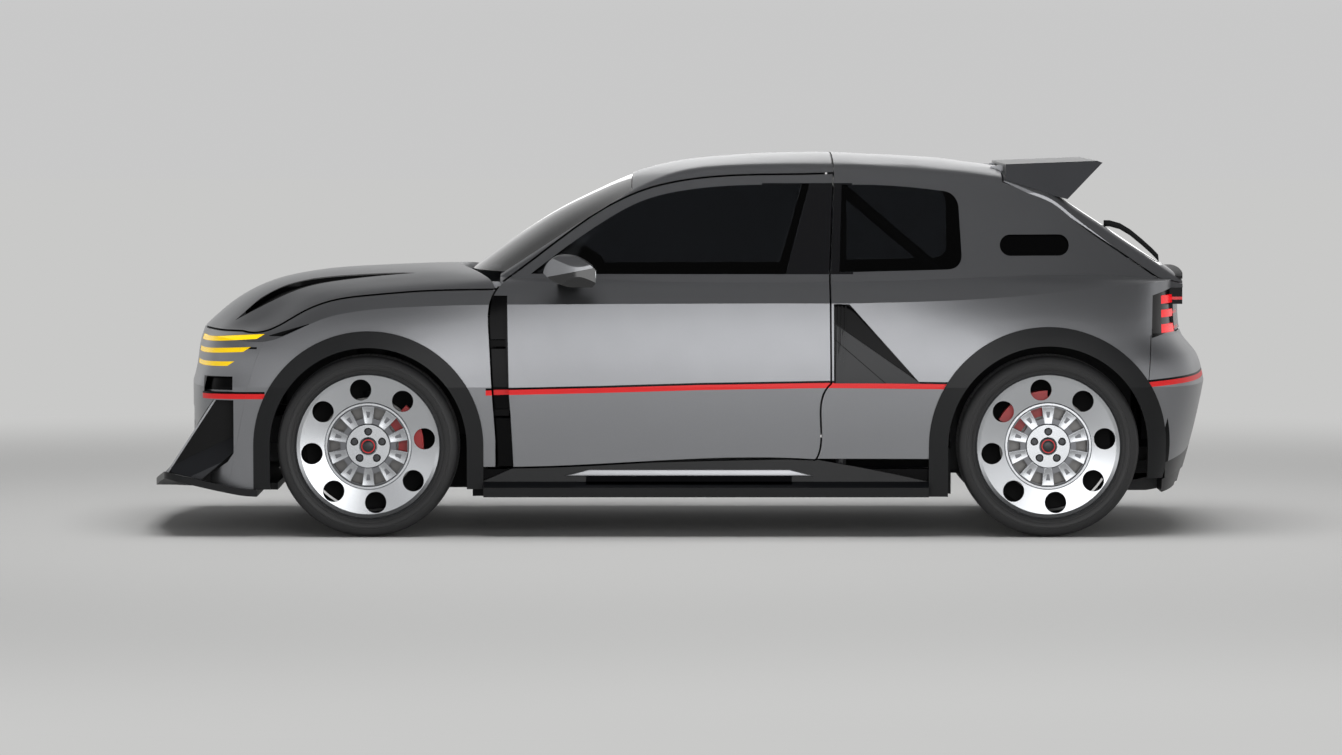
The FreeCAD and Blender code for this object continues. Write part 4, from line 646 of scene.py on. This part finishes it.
def place_piece(piece, name, body, surface, sharp=35.0):
    """Ends the modelling: the place goes into the mesh, and the piece gets its finish and its body."""
    if bpy.context.mode != "OBJECT":
        bpy.ops.object.mode_set(mode="OBJECT")
    alone()
    piece.select_set(True)
    bpy.context.view_layer.objects.active = piece
    settle()
    bpy.ops.object.mode_set(mode="EDIT")
    bpy.ops.mesh.select_all(action="SELECT")
    bpy.ops.mesh.remove_doubles(threshold=0.00001)
    bpy.ops.mesh.normals_make_consistent(inside=False)
    bpy.ops.object.mode_set(mode="OBJECT")
    bpy.ops.object.shade_smooth_by_angle(angle=math.radians(sharp))
    piece.name = name
    piece.data.name = name
    piece.data.materials.clear()
    piece.data.materials.append(surface.material)
    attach(piece, body)


def again(piece, name, body, shift=(0.0, 0.0, 0.0), about=None, mirrored=False):
    """A copy with its own mesh, moved, turned half round an upright line, or mirrored across the car."""
    mesh = piece.data.copy()
    if about:
        centre = Vector(about)
        half_turn = Matrix.Rotation(math.pi, 4, "Z")
        mesh.transform(Matrix.Translation(centre) @ half_turn @ Matrix.Translation(-centre))
    if mirrored:
        mesh.transform(Matrix.Scale(-1.0, 4, (0.0, 1.0, 0.0)))
        mesh.flip_normals()
    mesh.transform(Matrix.Translation(Vector(shift)))
    copy = bpy.data.objects.new(name, mesh)
    mesh.name = name
    bpy.context.scene.collection.objects.link(copy)
    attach(copy, body)
    return copy


def turned(centre, profile, steps, closed=False):
    """A ring about a crossways axle: one circle drawn on through (radius, distance out) points."""
    alone()
    bpy.context.tool_settings.mesh_select_mode = (True, False, False)
    middle = Vector(centre)
    bpy.ops.mesh.primitive_circle_add(
        vertices=steps, radius=profile[0][0], location=(middle.x, middle.y - profile[0][1], middle.z),
        rotation=(math.pi / 2, 0.0, 0.0))
    piece = bpy.context.object
    settle()
    bpy.ops.object.mode_set(mode="EDIT")
    bpy.ops.mesh.select_all(action="SELECT")
    for before, after in zip(profile, profile[1:]):
        bpy.ops.mesh.extrude_edges_move(TRANSFORM_OT_translate={"value": (0.0, before[1] - after[1], 0.0)})
        size = after[0] / before[0]
        bpy.ops.transform.resize(value=(size, 1.0, size), center_override=middle)
    bpy.ops.mesh.select_all(action="DESELECT")
    bpy.ops.mesh.select_non_manifold()
    if closed:
        bpy.ops.mesh.bridge_edge_loops()
    else:
        bpy.ops.mesh.fill_holes(sides=0)
    bpy.ops.mesh.select_all(action="SELECT")
    bpy.ops.mesh.normals_make_consistent(inside=False)
    bpy.ops.object.mode_set(mode="OBJECT")
    return piece


hub_left = (AXLES_X["front"], -WHEEL_Y, HUB_Z)
WHEELBASE = AXLES_X["rear"] - AXLES_X["front"]
TRACK = 2 * WHEEL_Y
# Each other wheel is reached from the front left by a shift, and on the right side by half a turn before it.
CORNERS = (("rear_left", (WHEELBASE, 0.0, 0.0), None), ("front_right", (0.0, TRACK, 0.0), hub_left),
           ("rear_right", (WHEELBASE, TRACK, 0.0), hub_left))


def each_wheel(piece, stem):
    """Copies a front left wheel's piece to the other three wheels."""
    pieces = [piece]
    for corner, shift, about in CORNERS:
        pieces.append(again(piece, stem + "_" + corner, "wheel_" + corner, shift, about))
    return pieces


bright = Surface("bright_turned_alloy", "#a9abae", 1.0, 0.22, 0.8, 0.02, spread=0.06)
alone()
bpy.context.tool_settings.mesh_select_mode = (True, False, False)
bpy.ops.mesh.primitive_circle_add(
    vertices=2 * STAR_SPOKES, radius=STAR_INNER, location=(AXLES_X["front"], -STAR_FACE, HUB_Z),
    rotation=(math.pi / 2, 0.0, 0.0))
star = bpy.context.object
settle()
bpy.ops.object.mode_set(mode="EDIT")
bpy.ops.mesh.select_all(action="SELECT")
bpy.ops.transform.rotate(value=math.radians(STAR_START), orient_axis="Y", center_override=hub_left)
bpy.ops.mesh.extrude_edges_move(TRANSFORM_OT_translate={"value": (0.0, 0.0, 0.0)})
star_growth = STAR_OUTER / STAR_INNER
bpy.ops.transform.resize(value=(star_growth, 1.0, star_growth), center_override=hub_left)


def around(centre):
    """Degrees round the front axle."""
    return math.degrees(math.atan2(centre.z - HUB_Z, centre.x - AXLES_X["front"]))


def over_a_slot(centre, normal):
    turn = around(centre) % STAR_STEP
    return min(turn, STAR_STEP - turn) < STAR_SLOT_HALF


def anything(centre, normal):
    return True


choose(star, over_a_slot)
bpy.ops.mesh.delete(type="FACE")
choose(star, anything)
bpy.ops.mesh.inset(thickness=STAR_RIM, depth=0.0, use_individual=True)
bpy.ops.mesh.extrude_region_move(TRANSFORM_OT_translate={"value": (0.0, -STAR_HEIGHT, 0.0)})
bpy.ops.mesh.poke(offset=STAR_CREST)
place_piece(star, "wheel_star_front_left", "wheel_front_left", bright, sharp=15.0)
each_wheel(star, "wheel_star")

# Wheel bolts and caps
# Five steel bolts sit in wells round each hub, and a plain cap with a red ring covers the middle.
BOLT_SEAT = 0.0782
BOLT_RADIUS = 0.0105
BOLT_HEIGHT = 0.010
steel = Surface("dark_plated_steel", "#4d4e50", 1.0, 0.35, 1.0, 0.03)
alone()
bolt_ring = []
for i in range(BOLTS):
    angle = math.radians(360.0 / BOLTS * i + 90.0)
    bpy.ops.mesh.primitive_cylinder_add(
        vertices=6, radius=BOLT_RADIUS, depth=BOLT_HEIGHT, rotation=(math.pi / 2, 0.0, 0.0),
        location=(AXLES_X["front"] + BOLT_CIRCLE * math.cos(angle), -WHEEL_Y - BOLT_SEAT - BOLT_HEIGHT / 2,
                  HUB_Z + BOLT_CIRCLE * math.sin(angle)))
    bolt_ring.append(bpy.context.object)
alone()
for bolt in bolt_ring:
    bolt.select_set(True)
bpy.context.view_layer.objects.active = bolt_ring[0]
bpy.ops.object.join()
bolts = bpy.context.object
settle()
choose(bolts, lambda centre, normal: normal.y < -0.9)
bpy.ops.mesh.inset(thickness=0.0022, depth=0.0, use_individual=True)
bpy.ops.mesh.inset(thickness=0.0008, depth=-0.003, use_individual=True)
place_piece(bolts, "wheel_bolts_front_left", "wheel_front_left", steel, sharp=25.0)
each_wheel(bolts, "wheel_bolts")

# The cap's and the ring's sections, as (radius, distance out from the wheel's middle).
CAP_PROFILE = ((0.0300, 0.0958), (0.0300, 0.0972), (0.0285, 0.0982), (0.0262, 0.0982), (0.0258, 0.0972),
               (0.0215, 0.0972), (0.0205, 0.0980), (0.0120, 0.0992), (0.0040, 0.0995))
RING_PROFILE = ((0.0256, 0.0973), (0.0254, 0.0980), (0.0220, 0.0980), (0.0218, 0.0973))
CAP_STEPS = 48
cap = turned(hub_left, CAP_PROFILE, CAP_STEPS)
cap_finish = Surface("satin_cap_moulding", "#2c2d2f", 0.2, 0.3, 1.5, 0.02)
place_piece(cap, "wheel_cap_front_left", "wheel_front_left", cap_finish)
each_wheel(cap, "wheel_cap")
red_ring = turned(hub_left, RING_PROFILE, CAP_STEPS, closed=True)
ring_paint = Surface("red_ring_enamel", "#d8141b", 0.0, 0.3, 2.0, 0.01)
place_piece(red_ring, "cap_ring_front_left", "wheel_front_left", ring_paint)
each_wheel(red_ring, "cap_ring")

# Tyres
# Low road tyres of moulded rubber: a bead line, two raised rings on each sidewall, four grooves round the
# tread and short slits across its ribs.
SIDEWALL = ((0.2725, 0.1035), (0.2750, 0.1078), (0.2800, 0.1112), (0.2832, 0.1122), (0.2840, 0.1104),
            (0.2870, 0.1110), (0.2878, 0.1134), (0.2950, 0.1163), (0.3020, 0.1172), (0.3030, 0.1156),
            (0.3060, 0.1156), (0.3070, 0.1172), (0.3150, 0.1150), (0.3260, 0.1098), (0.3335, 0.1010),
            (0.3375, 0.0900), (0.3388, 0.0790))
TREAD = ((0.3392, 0.0610), (0.3325, 0.0600), (0.3325, 0.0510), (0.3398, 0.0500), (0.3400, 0.0240),
         (0.3325, 0.0230), (0.3325, 0.0140), (0.3400, 0.0130))
half_tyre = SIDEWALL + TREAD
whole_tyre = half_tyre + tuple((r, -d) for r, d in reversed(half_tyre))
TREAD_STEPS = 144
RIB_RADIUS = 0.3365
RIBS_HALF = 0.0895
MIDDLE_RIB = (0.03, 0.07)
FLAT_ENOUGH = 0.4
SLIT_EDGE = 0.0042
SLIT_SLOPE = 0.0004
SLIT_DEPTH = 0.0055
tyre = turned(hub_left, whole_tyre, TREAD_STEPS, closed=True)


def rib_pitch(centre, normal):
    """Every other face along the ribs, with the middle ribs one face on from their neighbours."""
    out_from_hub = math.hypot(centre.x - AXLES_X["front"], centre.z - HUB_Z)
    across = abs(centre.y + WHEEL_Y)
    on_rib = out_from_hub > RIB_RADIUS and across < RIBS_HALF and abs(normal.y) < FLAT_ENOUGH
    row = 1 if MIDDLE_RIB[0] < across < MIDDLE_RIB[1] else 0
    return on_rib and (math.floor(around(centre) * TREAD_STEPS / 360.0) + row) % 2 == 0


choose(tyre, rib_pitch)
bpy.ops.mesh.inset(thickness=SLIT_EDGE, depth=0.0, use_individual=True)
bpy.ops.mesh.inset(thickness=SLIT_SLOPE, depth=-SLIT_DEPTH, use_individual=True)
rubber = Surface("tyre_rubber", "#242425", 0.0, 0.5, 1.0, 0.1, spread=0.2, shine=0.5)
place_piece(tyre, "tyre_tread_front_left", "wheel_front_left", rubber, sharp=28.0)
for tyre_piece, corner in zip(each_wheel(tyre, "tyre_tread"),
                              ("front_left", "rear_left", "front_right", "rear_right")):
    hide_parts("tyre_" + corner)

# Brake shields
# A pressed steel ring inboard of each disc closes the wheel's inner side against dirt.
SHIELD_PROFILE = ((0.1150, -0.0810), (0.2380, -0.0810), (0.2440, -0.0780), (0.2460, -0.0790),
                  (0.2390, -0.0825), (0.1150, -0.0825))
shield_steel = Surface("black_shield_steel", "#101011", 0.3, 0.55, 2.0, 0.1, shine=0.3)
shield = turned(hub_left, SHIELD_PROFILE, 72, closed=True)
place_piece(shield, "brake_shield_front_left", "knuckle_left", shield_steel)
again(shield, "brake_shield_front_right", "knuckle_right", (0.0, TRACK, 0.0), hub_left)
again(shield, "brake_shield_rear_left", "body", (WHEELBASE, 0.0, 0.0))
again(shield, "brake_shield_rear_right", "body", (WHEELBASE, TRACK, 0.0), hub_left)

# Arch liners
# A plain moulded sheet closes the body behind each front wheel, inboard of the tyre at full lock.
ARCH_LINER_PLACE = (-0.905, -0.497, 0.262)
ARCH_LINER_SIZE = (0.230, 0.004, 0.200)
ARCH_LINER_EDGE = 0.0015


def block_at(place, size):
    """A block round a place, open for editing."""
    alone()
    bpy.ops.mesh.primitive_cube_add(size=1.0, location=place)
    block = bpy.context.object
    block.scale = size
    settle()
    bpy.ops.object.mode_set(mode="EDIT")
    return block


arch_liner = block_at(ARCH_LINER_PLACE, ARCH_LINER_SIZE)
bpy.ops.mesh.select_all(action="SELECT")
bpy.ops.mesh.bevel(offset=ARCH_LINER_EDGE, segments=2)
liner_plastic = Surface("black_liner_moulding", "#0d0d0e", 0.0, 0.7, 2.0, 0.15, shine=0.2)
place_piece(arch_liner, "arch_liner_left", "body", liner_plastic)
again(arch_liner, "arch_liner_right", "body", mirrored=True)

# Intake plates
# An upright black plate stands on the splitter in each corner intake. Its black is partly its moulding's own
# and partly painted shade of the intake's inside. Its thin leading edge is in a lighter paint, a painted
# highlight, and a satin ramp at its foot turns the air outwards.
INTAKE_EDGE = ((-1.754, 0.5120), (-1.932, 0.2400))
INTAKE_FOOT = ((-1.932, 0.2372), (-1.674, 0.1815))
# The blocks that the plate, its edge and the ramp are cut from, by two opposite corners.
PLATE_BLOCK = ((-1.932, -0.8060, 0.180), (-1.674, -0.8010, 0.512))
EDGE_BLOCK = ((-1.932, -0.8090, 0.180), (-1.674, -0.7980, 0.512))
RAMP_BLOCK = ((-1.915, -0.858, 0.180), (-1.676, -0.8062, 0.375))
EDGE_WIDTH = 0.008
# Three points of the ramp's face: at its front, high at its back, and low at its outer corner.
RAMP_FRONT = Vector((-1.914, -0.806, 0.262))
RAMP_BACK = Vector((-1.676, -0.806, 0.372))
RAMP_CORNER = Vector((-1.676, -0.858, 0.300))
RAMP_UNDERSIDE = ((-1.674, 0.1860), (-1.932, 0.2425))
RAMP_TOE = ((-1.676, 0.318), (-1.800, 0.213))


def line_cut(start, end):
    """A plane square to the side view, through two (x, z) points; what lies right of start to end stays."""
    return (start[0], 0.0, start[1]), (start[1] - end[1], 0.0, end[0] - start[0])


def cut_block(low, high, cuts):
    """A block between two corners, cut flat by planes; the side that each normal points to is cleared."""
    block = block_at([(a + b) / 2 for a, b in zip(low, high)], [b - a for a, b in zip(low, high)])
    for place, normal in cuts:
        bpy.ops.mesh.select_all(action="SELECT")
        bpy.ops.mesh.bisect(plane_co=place, plane_no=normal, use_fill=True, clear_outer=True)
    bpy.ops.mesh.select_all(action="SELECT")
    return block


front_cut = line_cut(INTAKE_EDGE[1], INTAKE_EDGE[0])
foot_cut = line_cut(INTAKE_FOOT[1], INTAKE_FOOT[0])
intake_plate = cut_block(*PLATE_BLOCK, (front_cut, foot_cut))
# Partly painted shade: the plate is blacker than its moulding, as the intake's inside in shade.
intake_shade_black = Surface("black_moulding_in_intake_shade", "#060607", 0.6, 0.5, 1.5, 0.05)
place_piece(intake_plate, "intake_plate_left", "body", intake_shade_black)
again(intake_plate, "intake_plate_right", "body", mirrored=True)
back_cut = line_cut((INTAKE_EDGE[0][0] + EDGE_WIDTH, INTAKE_EDGE[0][1]),
                    (INTAKE_EDGE[1][0] + EDGE_WIDTH, INTAKE_EDGE[1][1]))
intake_edge = cut_block(*EDGE_BLOCK, (front_cut, back_cut, foot_cut))
# Painted highlight: a lighter copy of the body paint, for the intake plates' edges and the skirt rails.
highlight_paint = Surface("satin_metallic_paint_highlight", "#a0a1a4", PAINT_METALLIC, PAINT_ROUGHNESS, FLAKE_MM,
                      FLAKE_RELIEF_MM, spread=0.10)
place_piece(intake_edge, "intake_edge_left", "body", highlight_paint)
again(intake_edge, "intake_edge_right", "body", mirrored=True)
ramp_upward = (RAMP_CORNER - RAMP_FRONT).cross(RAMP_BACK - RAMP_FRONT)
ramp_face = (tuple(RAMP_FRONT), tuple(ramp_upward))
ramp = cut_block(*RAMP_BLOCK, (ramp_face, line_cut(*RAMP_UNDERSIDE), line_cut(*RAMP_TOE)))
ramp_grey = Surface("satin_grey_ramp", "#2f3033", 0.5, 0.36, 1.5, 0.03)
place_piece(ramp, "intake_ramp_left", "body", ramp_grey, sharp=20.0)
again(ramp, "intake_ramp_right", "body", mirrored=True)

# Skirt rails
# A rail with tapered ends, painted lighter than the body as a painted highlight, is let in along each side
# skirt, over its long recess, which is painted black as shade.
RAIL_BLOCK = ((-0.440, -0.8760, 0.2275), (0.490, -0.8655, 0.2520))
RAIL_FRONT = ((-0.440, 0.2275), (-0.350, 0.2520))
RAIL_BACK = ((0.400, 0.2520), (0.490, 0.2275))
RAIL_ROUND = 0.0035
skirt_rail = cut_block(*RAIL_BLOCK, (line_cut(*RAIL_FRONT), line_cut(*RAIL_BACK)))
bpy.ops.mesh.bevel(offset=RAIL_ROUND, segments=3)
place_piece(skirt_rail, "skirt_rail_left", "body", highlight_paint)
again(skirt_rail, "skirt_rail_right", "body", mirrored=True)

# Tail lip
# A thin black moulding is bonded along the tailgate's back edge, under the window, as a small spoiler.
LIP_PATH = ((1.8680, -0.552, 0.9610), (1.8720, -0.500, 0.9690), (1.8760, -0.400, 0.9750),
            (1.8790, -0.200, 0.9820), (1.8800, 0.000, 0.9835), (1.8790, 0.200, 0.9820),
            (1.8760, 0.400, 0.9750), (1.8720, 0.500, 0.9690), (1.8680, 0.552, 0.9610))
LIP_SIZE = (0.046, 0.011)


def plate_at(place, size, turn):
    """A flat plate, open for editing with its face selected."""
    alone()
    bpy.ops.mesh.primitive_plane_add(size=1.0, location=place, rotation=turn)
    plate = bpy.context.object
    plate.scale = (size[0], size[1], 1.0)
    settle()
    choose(plate, anything)
    return plate


def run_through(path):
    """Draws the selected end face on from point to point."""
    for before, after in zip(path, path[1:]):
        bpy.ops.mesh.extrude_region_move(
            TRANSFORM_OT_translate={"value": tuple(b - a for a, b in zip(before, after))})


tail_lip = plate_at(LIP_PATH[0], LIP_SIZE, (math.pi / 2, 0.0, 0.0))
run_through(LIP_PATH)
place_piece(tail_lip, "tail_lip", "tailgate", trim)

# Cabin hard parts
# The dashboard is grained soft-touch moulding and the steering wheel is bound in black leather. The seats
# are one-piece composite shells.
grained = Surface("grained_dash_moulding", "#1b1b1d", 0.0, 0.6, 2.0, 0.3)
dress(grained, "dashboard")
leather = Surface("black_leather", "#161617", 0.0, 0.5, 2.5, 0.25)
dress(leather, "steering_wheel")
shell = Surface("seat_shell_composite", "#2a2b2e", 0.0, 0.4, 4.0, 0.1, coat=0.3)
dress(shell, "seats")

# Seat pads
# Each shell holds a cushion, a back pad and a head pad: woven fabric over foam, sewn across in channels.
PAD_ROWS = 12
# Shares of a pad's length, width, thickness and row that its raised middle and its channels take.
MIDDLE_LENGTH = 0.80
MIDDLE_WIDTH = 0.75
MIDDLE_RISE = 0.28
CHANNEL_EDGE = 0.36
CHANNEL_DEPTH = 0.16
# Name, place along and up, size, tilt in degrees, and the rows that are sewn down.
PADS = (("cushion_", (0.095, 0.452), (0.40, 0.355, 0.060), -2.0, (3, 6, 9)),
        ("back_pad_", (0.372, 0.690), (0.42, 0.350, 0.052), 72.0, (2, 4, 6, 8, 10)),
        ("head_pad_", (0.462, 0.950), (0.115, 0.255, 0.045), 72.0, ()))
weave = Surface("woven_seat_fabric", "#2b2c30", 0.0, 0.85, 2.0, 0.35, spread=0.35, shine=0.2)


def seat_pad(name, place, size, tilt, channels):
    """A pad whose front looks up before it is tilted; the channels are rows across its length."""
    alone()
    bpy.ops.mesh.primitive_cube_add(size=1.0, location=place)
    pad = bpy.context.object
    pad.scale = size
    bpy.ops.object.transform_apply(location=False, rotation=False, scale=True)
    bpy.ops.object.mode_set(mode="EDIT")
    bpy.ops.mesh.select_all(action="SELECT")
    bpy.ops.mesh.subdivide(number_cuts=PAD_ROWS - 1)
    half_length, half_width = size[0] / 2, size[1] / 2

    def middle(centre, normal):
        inside = abs(centre.x) < MIDDLE_LENGTH * half_length and abs(centre.y) < MIDDLE_WIDTH * half_width
        return normal.z > 0.5 and inside

    choose(pad, middle)
    bpy.ops.transform.translate(value=(0.0, 0.0, size[2] * MIDDLE_RISE))
    step = size[0] / PAD_ROWS

    def sewn(centre, normal):
        row = int(round((centre.x + half_length) / step - 0.5))
        return middle(centre, normal) and row in channels

    choose(pad, sewn)
    bpy.ops.mesh.inset(thickness=step * CHANNEL_EDGE, depth=-size[2] * CHANNEL_DEPTH, use_boundary=True)
    bpy.ops.object.mode_set(mode="OBJECT")
    soften = pad.modifiers.new("rounding", "SUBSURF")
    soften.levels = 2
    soften.render_levels = 2
    bpy.ops.object.modifier_apply(modifier=soften.name)
    pad.rotation_euler = (0.0, math.radians(-tilt), 0.0)
    place_piece(pad, name, "body", weave, sharp=60.0)


for seat_side, seat_y in (("left", -0.360), ("right", 0.360)):
    for pad_name, (pad_x, pad_z), pad_size, pad_tilt, sewn_rows in PADS:
        seat_pad(pad_name + seat_side, (pad_x, seat_y, pad_z), pad_size, pad_tilt, sewn_rows)

# Mirrors
# Gloss black housings on short arms, with painted caps over them and silvered glass let into their rear
# faces.
gloss = Surface("gloss_black_moulding", "#0c0c0e", 0.0, 0.14, 3.0, 0.01, coat=0.4)
MIRROR_CAP_EDGE = ((-0.519, 0.972), (-0.325, 1.010))
MIRROR_CAP_BACK = -0.334
MIRROR_PLACE = (-0.3246, -0.912, 0.976)
MIRROR_SIZE = (0.046, 0.128)
MIRROR_THICKNESS = 0.0022
MIRROR_EDGE = 0.0009
gloss.cover(gloss.all_of(gloss.but_not(gloss.below(*MIRROR_CAP_EDGE)),
                         gloss.math("LESS_THAN", gloss.x, MIRROR_CAP_BACK)),
            PAINT_GREY, PAINT_ROUGHNESS, PAINT_METALLIC)
dress(gloss, "mirror_left", "mirror_right")
silvered = Surface("silvered_mirror_glass", "#e6e8ea", 1.0, 0.02, 300.0, 0.0, spread=0.01)
mirror_plate = plate_at(MIRROR_PLACE, MIRROR_SIZE, (0.0, math.pi / 2, 0.0))
bpy.ops.mesh.extrude_region_move(TRANSFORM_OT_translate={"value": (MIRROR_THICKNESS, 0.0, 0.0)})
bpy.ops.mesh.select_all(action="SELECT")
bpy.ops.mesh.bevel(offset=MIRROR_EDGE, segments=2)
place_piece(mirror_plate, "mirror_glass_left", "door_left", silvered)
again(mirror_plate, "mirror_glass_right", "door_right", mirrored=True)

# Rear wiper
# One curved arm of matt black plastic on the tailgate's middle, standing off the rear window.
WIPER_PATH = ((1.628, 0.0, 1.152), (1.650, 0.0, 1.152), (1.690, 0.0, 1.141), (1.730, 0.0, 1.117),
              (1.775, 0.0, 1.080), (1.815, 0.0, 1.044), (1.838, 0.0, 1.020), (1.840, 0.0, 1.004))
WIPER_SIZE = (0.024, 0.026)
WIPER_EDGE = 0.002
wiper = plate_at(WIPER_PATH[0], WIPER_SIZE, (0.0, math.pi / 2, 0.0))
run_through(WIPER_PATH)
bpy.ops.mesh.select_all(action="SELECT")
bpy.ops.mesh.bevel(offset=WIPER_EDGE, segments=2)
place_piece(wiper, "rear_wiper_arm", "tailgate", trim)
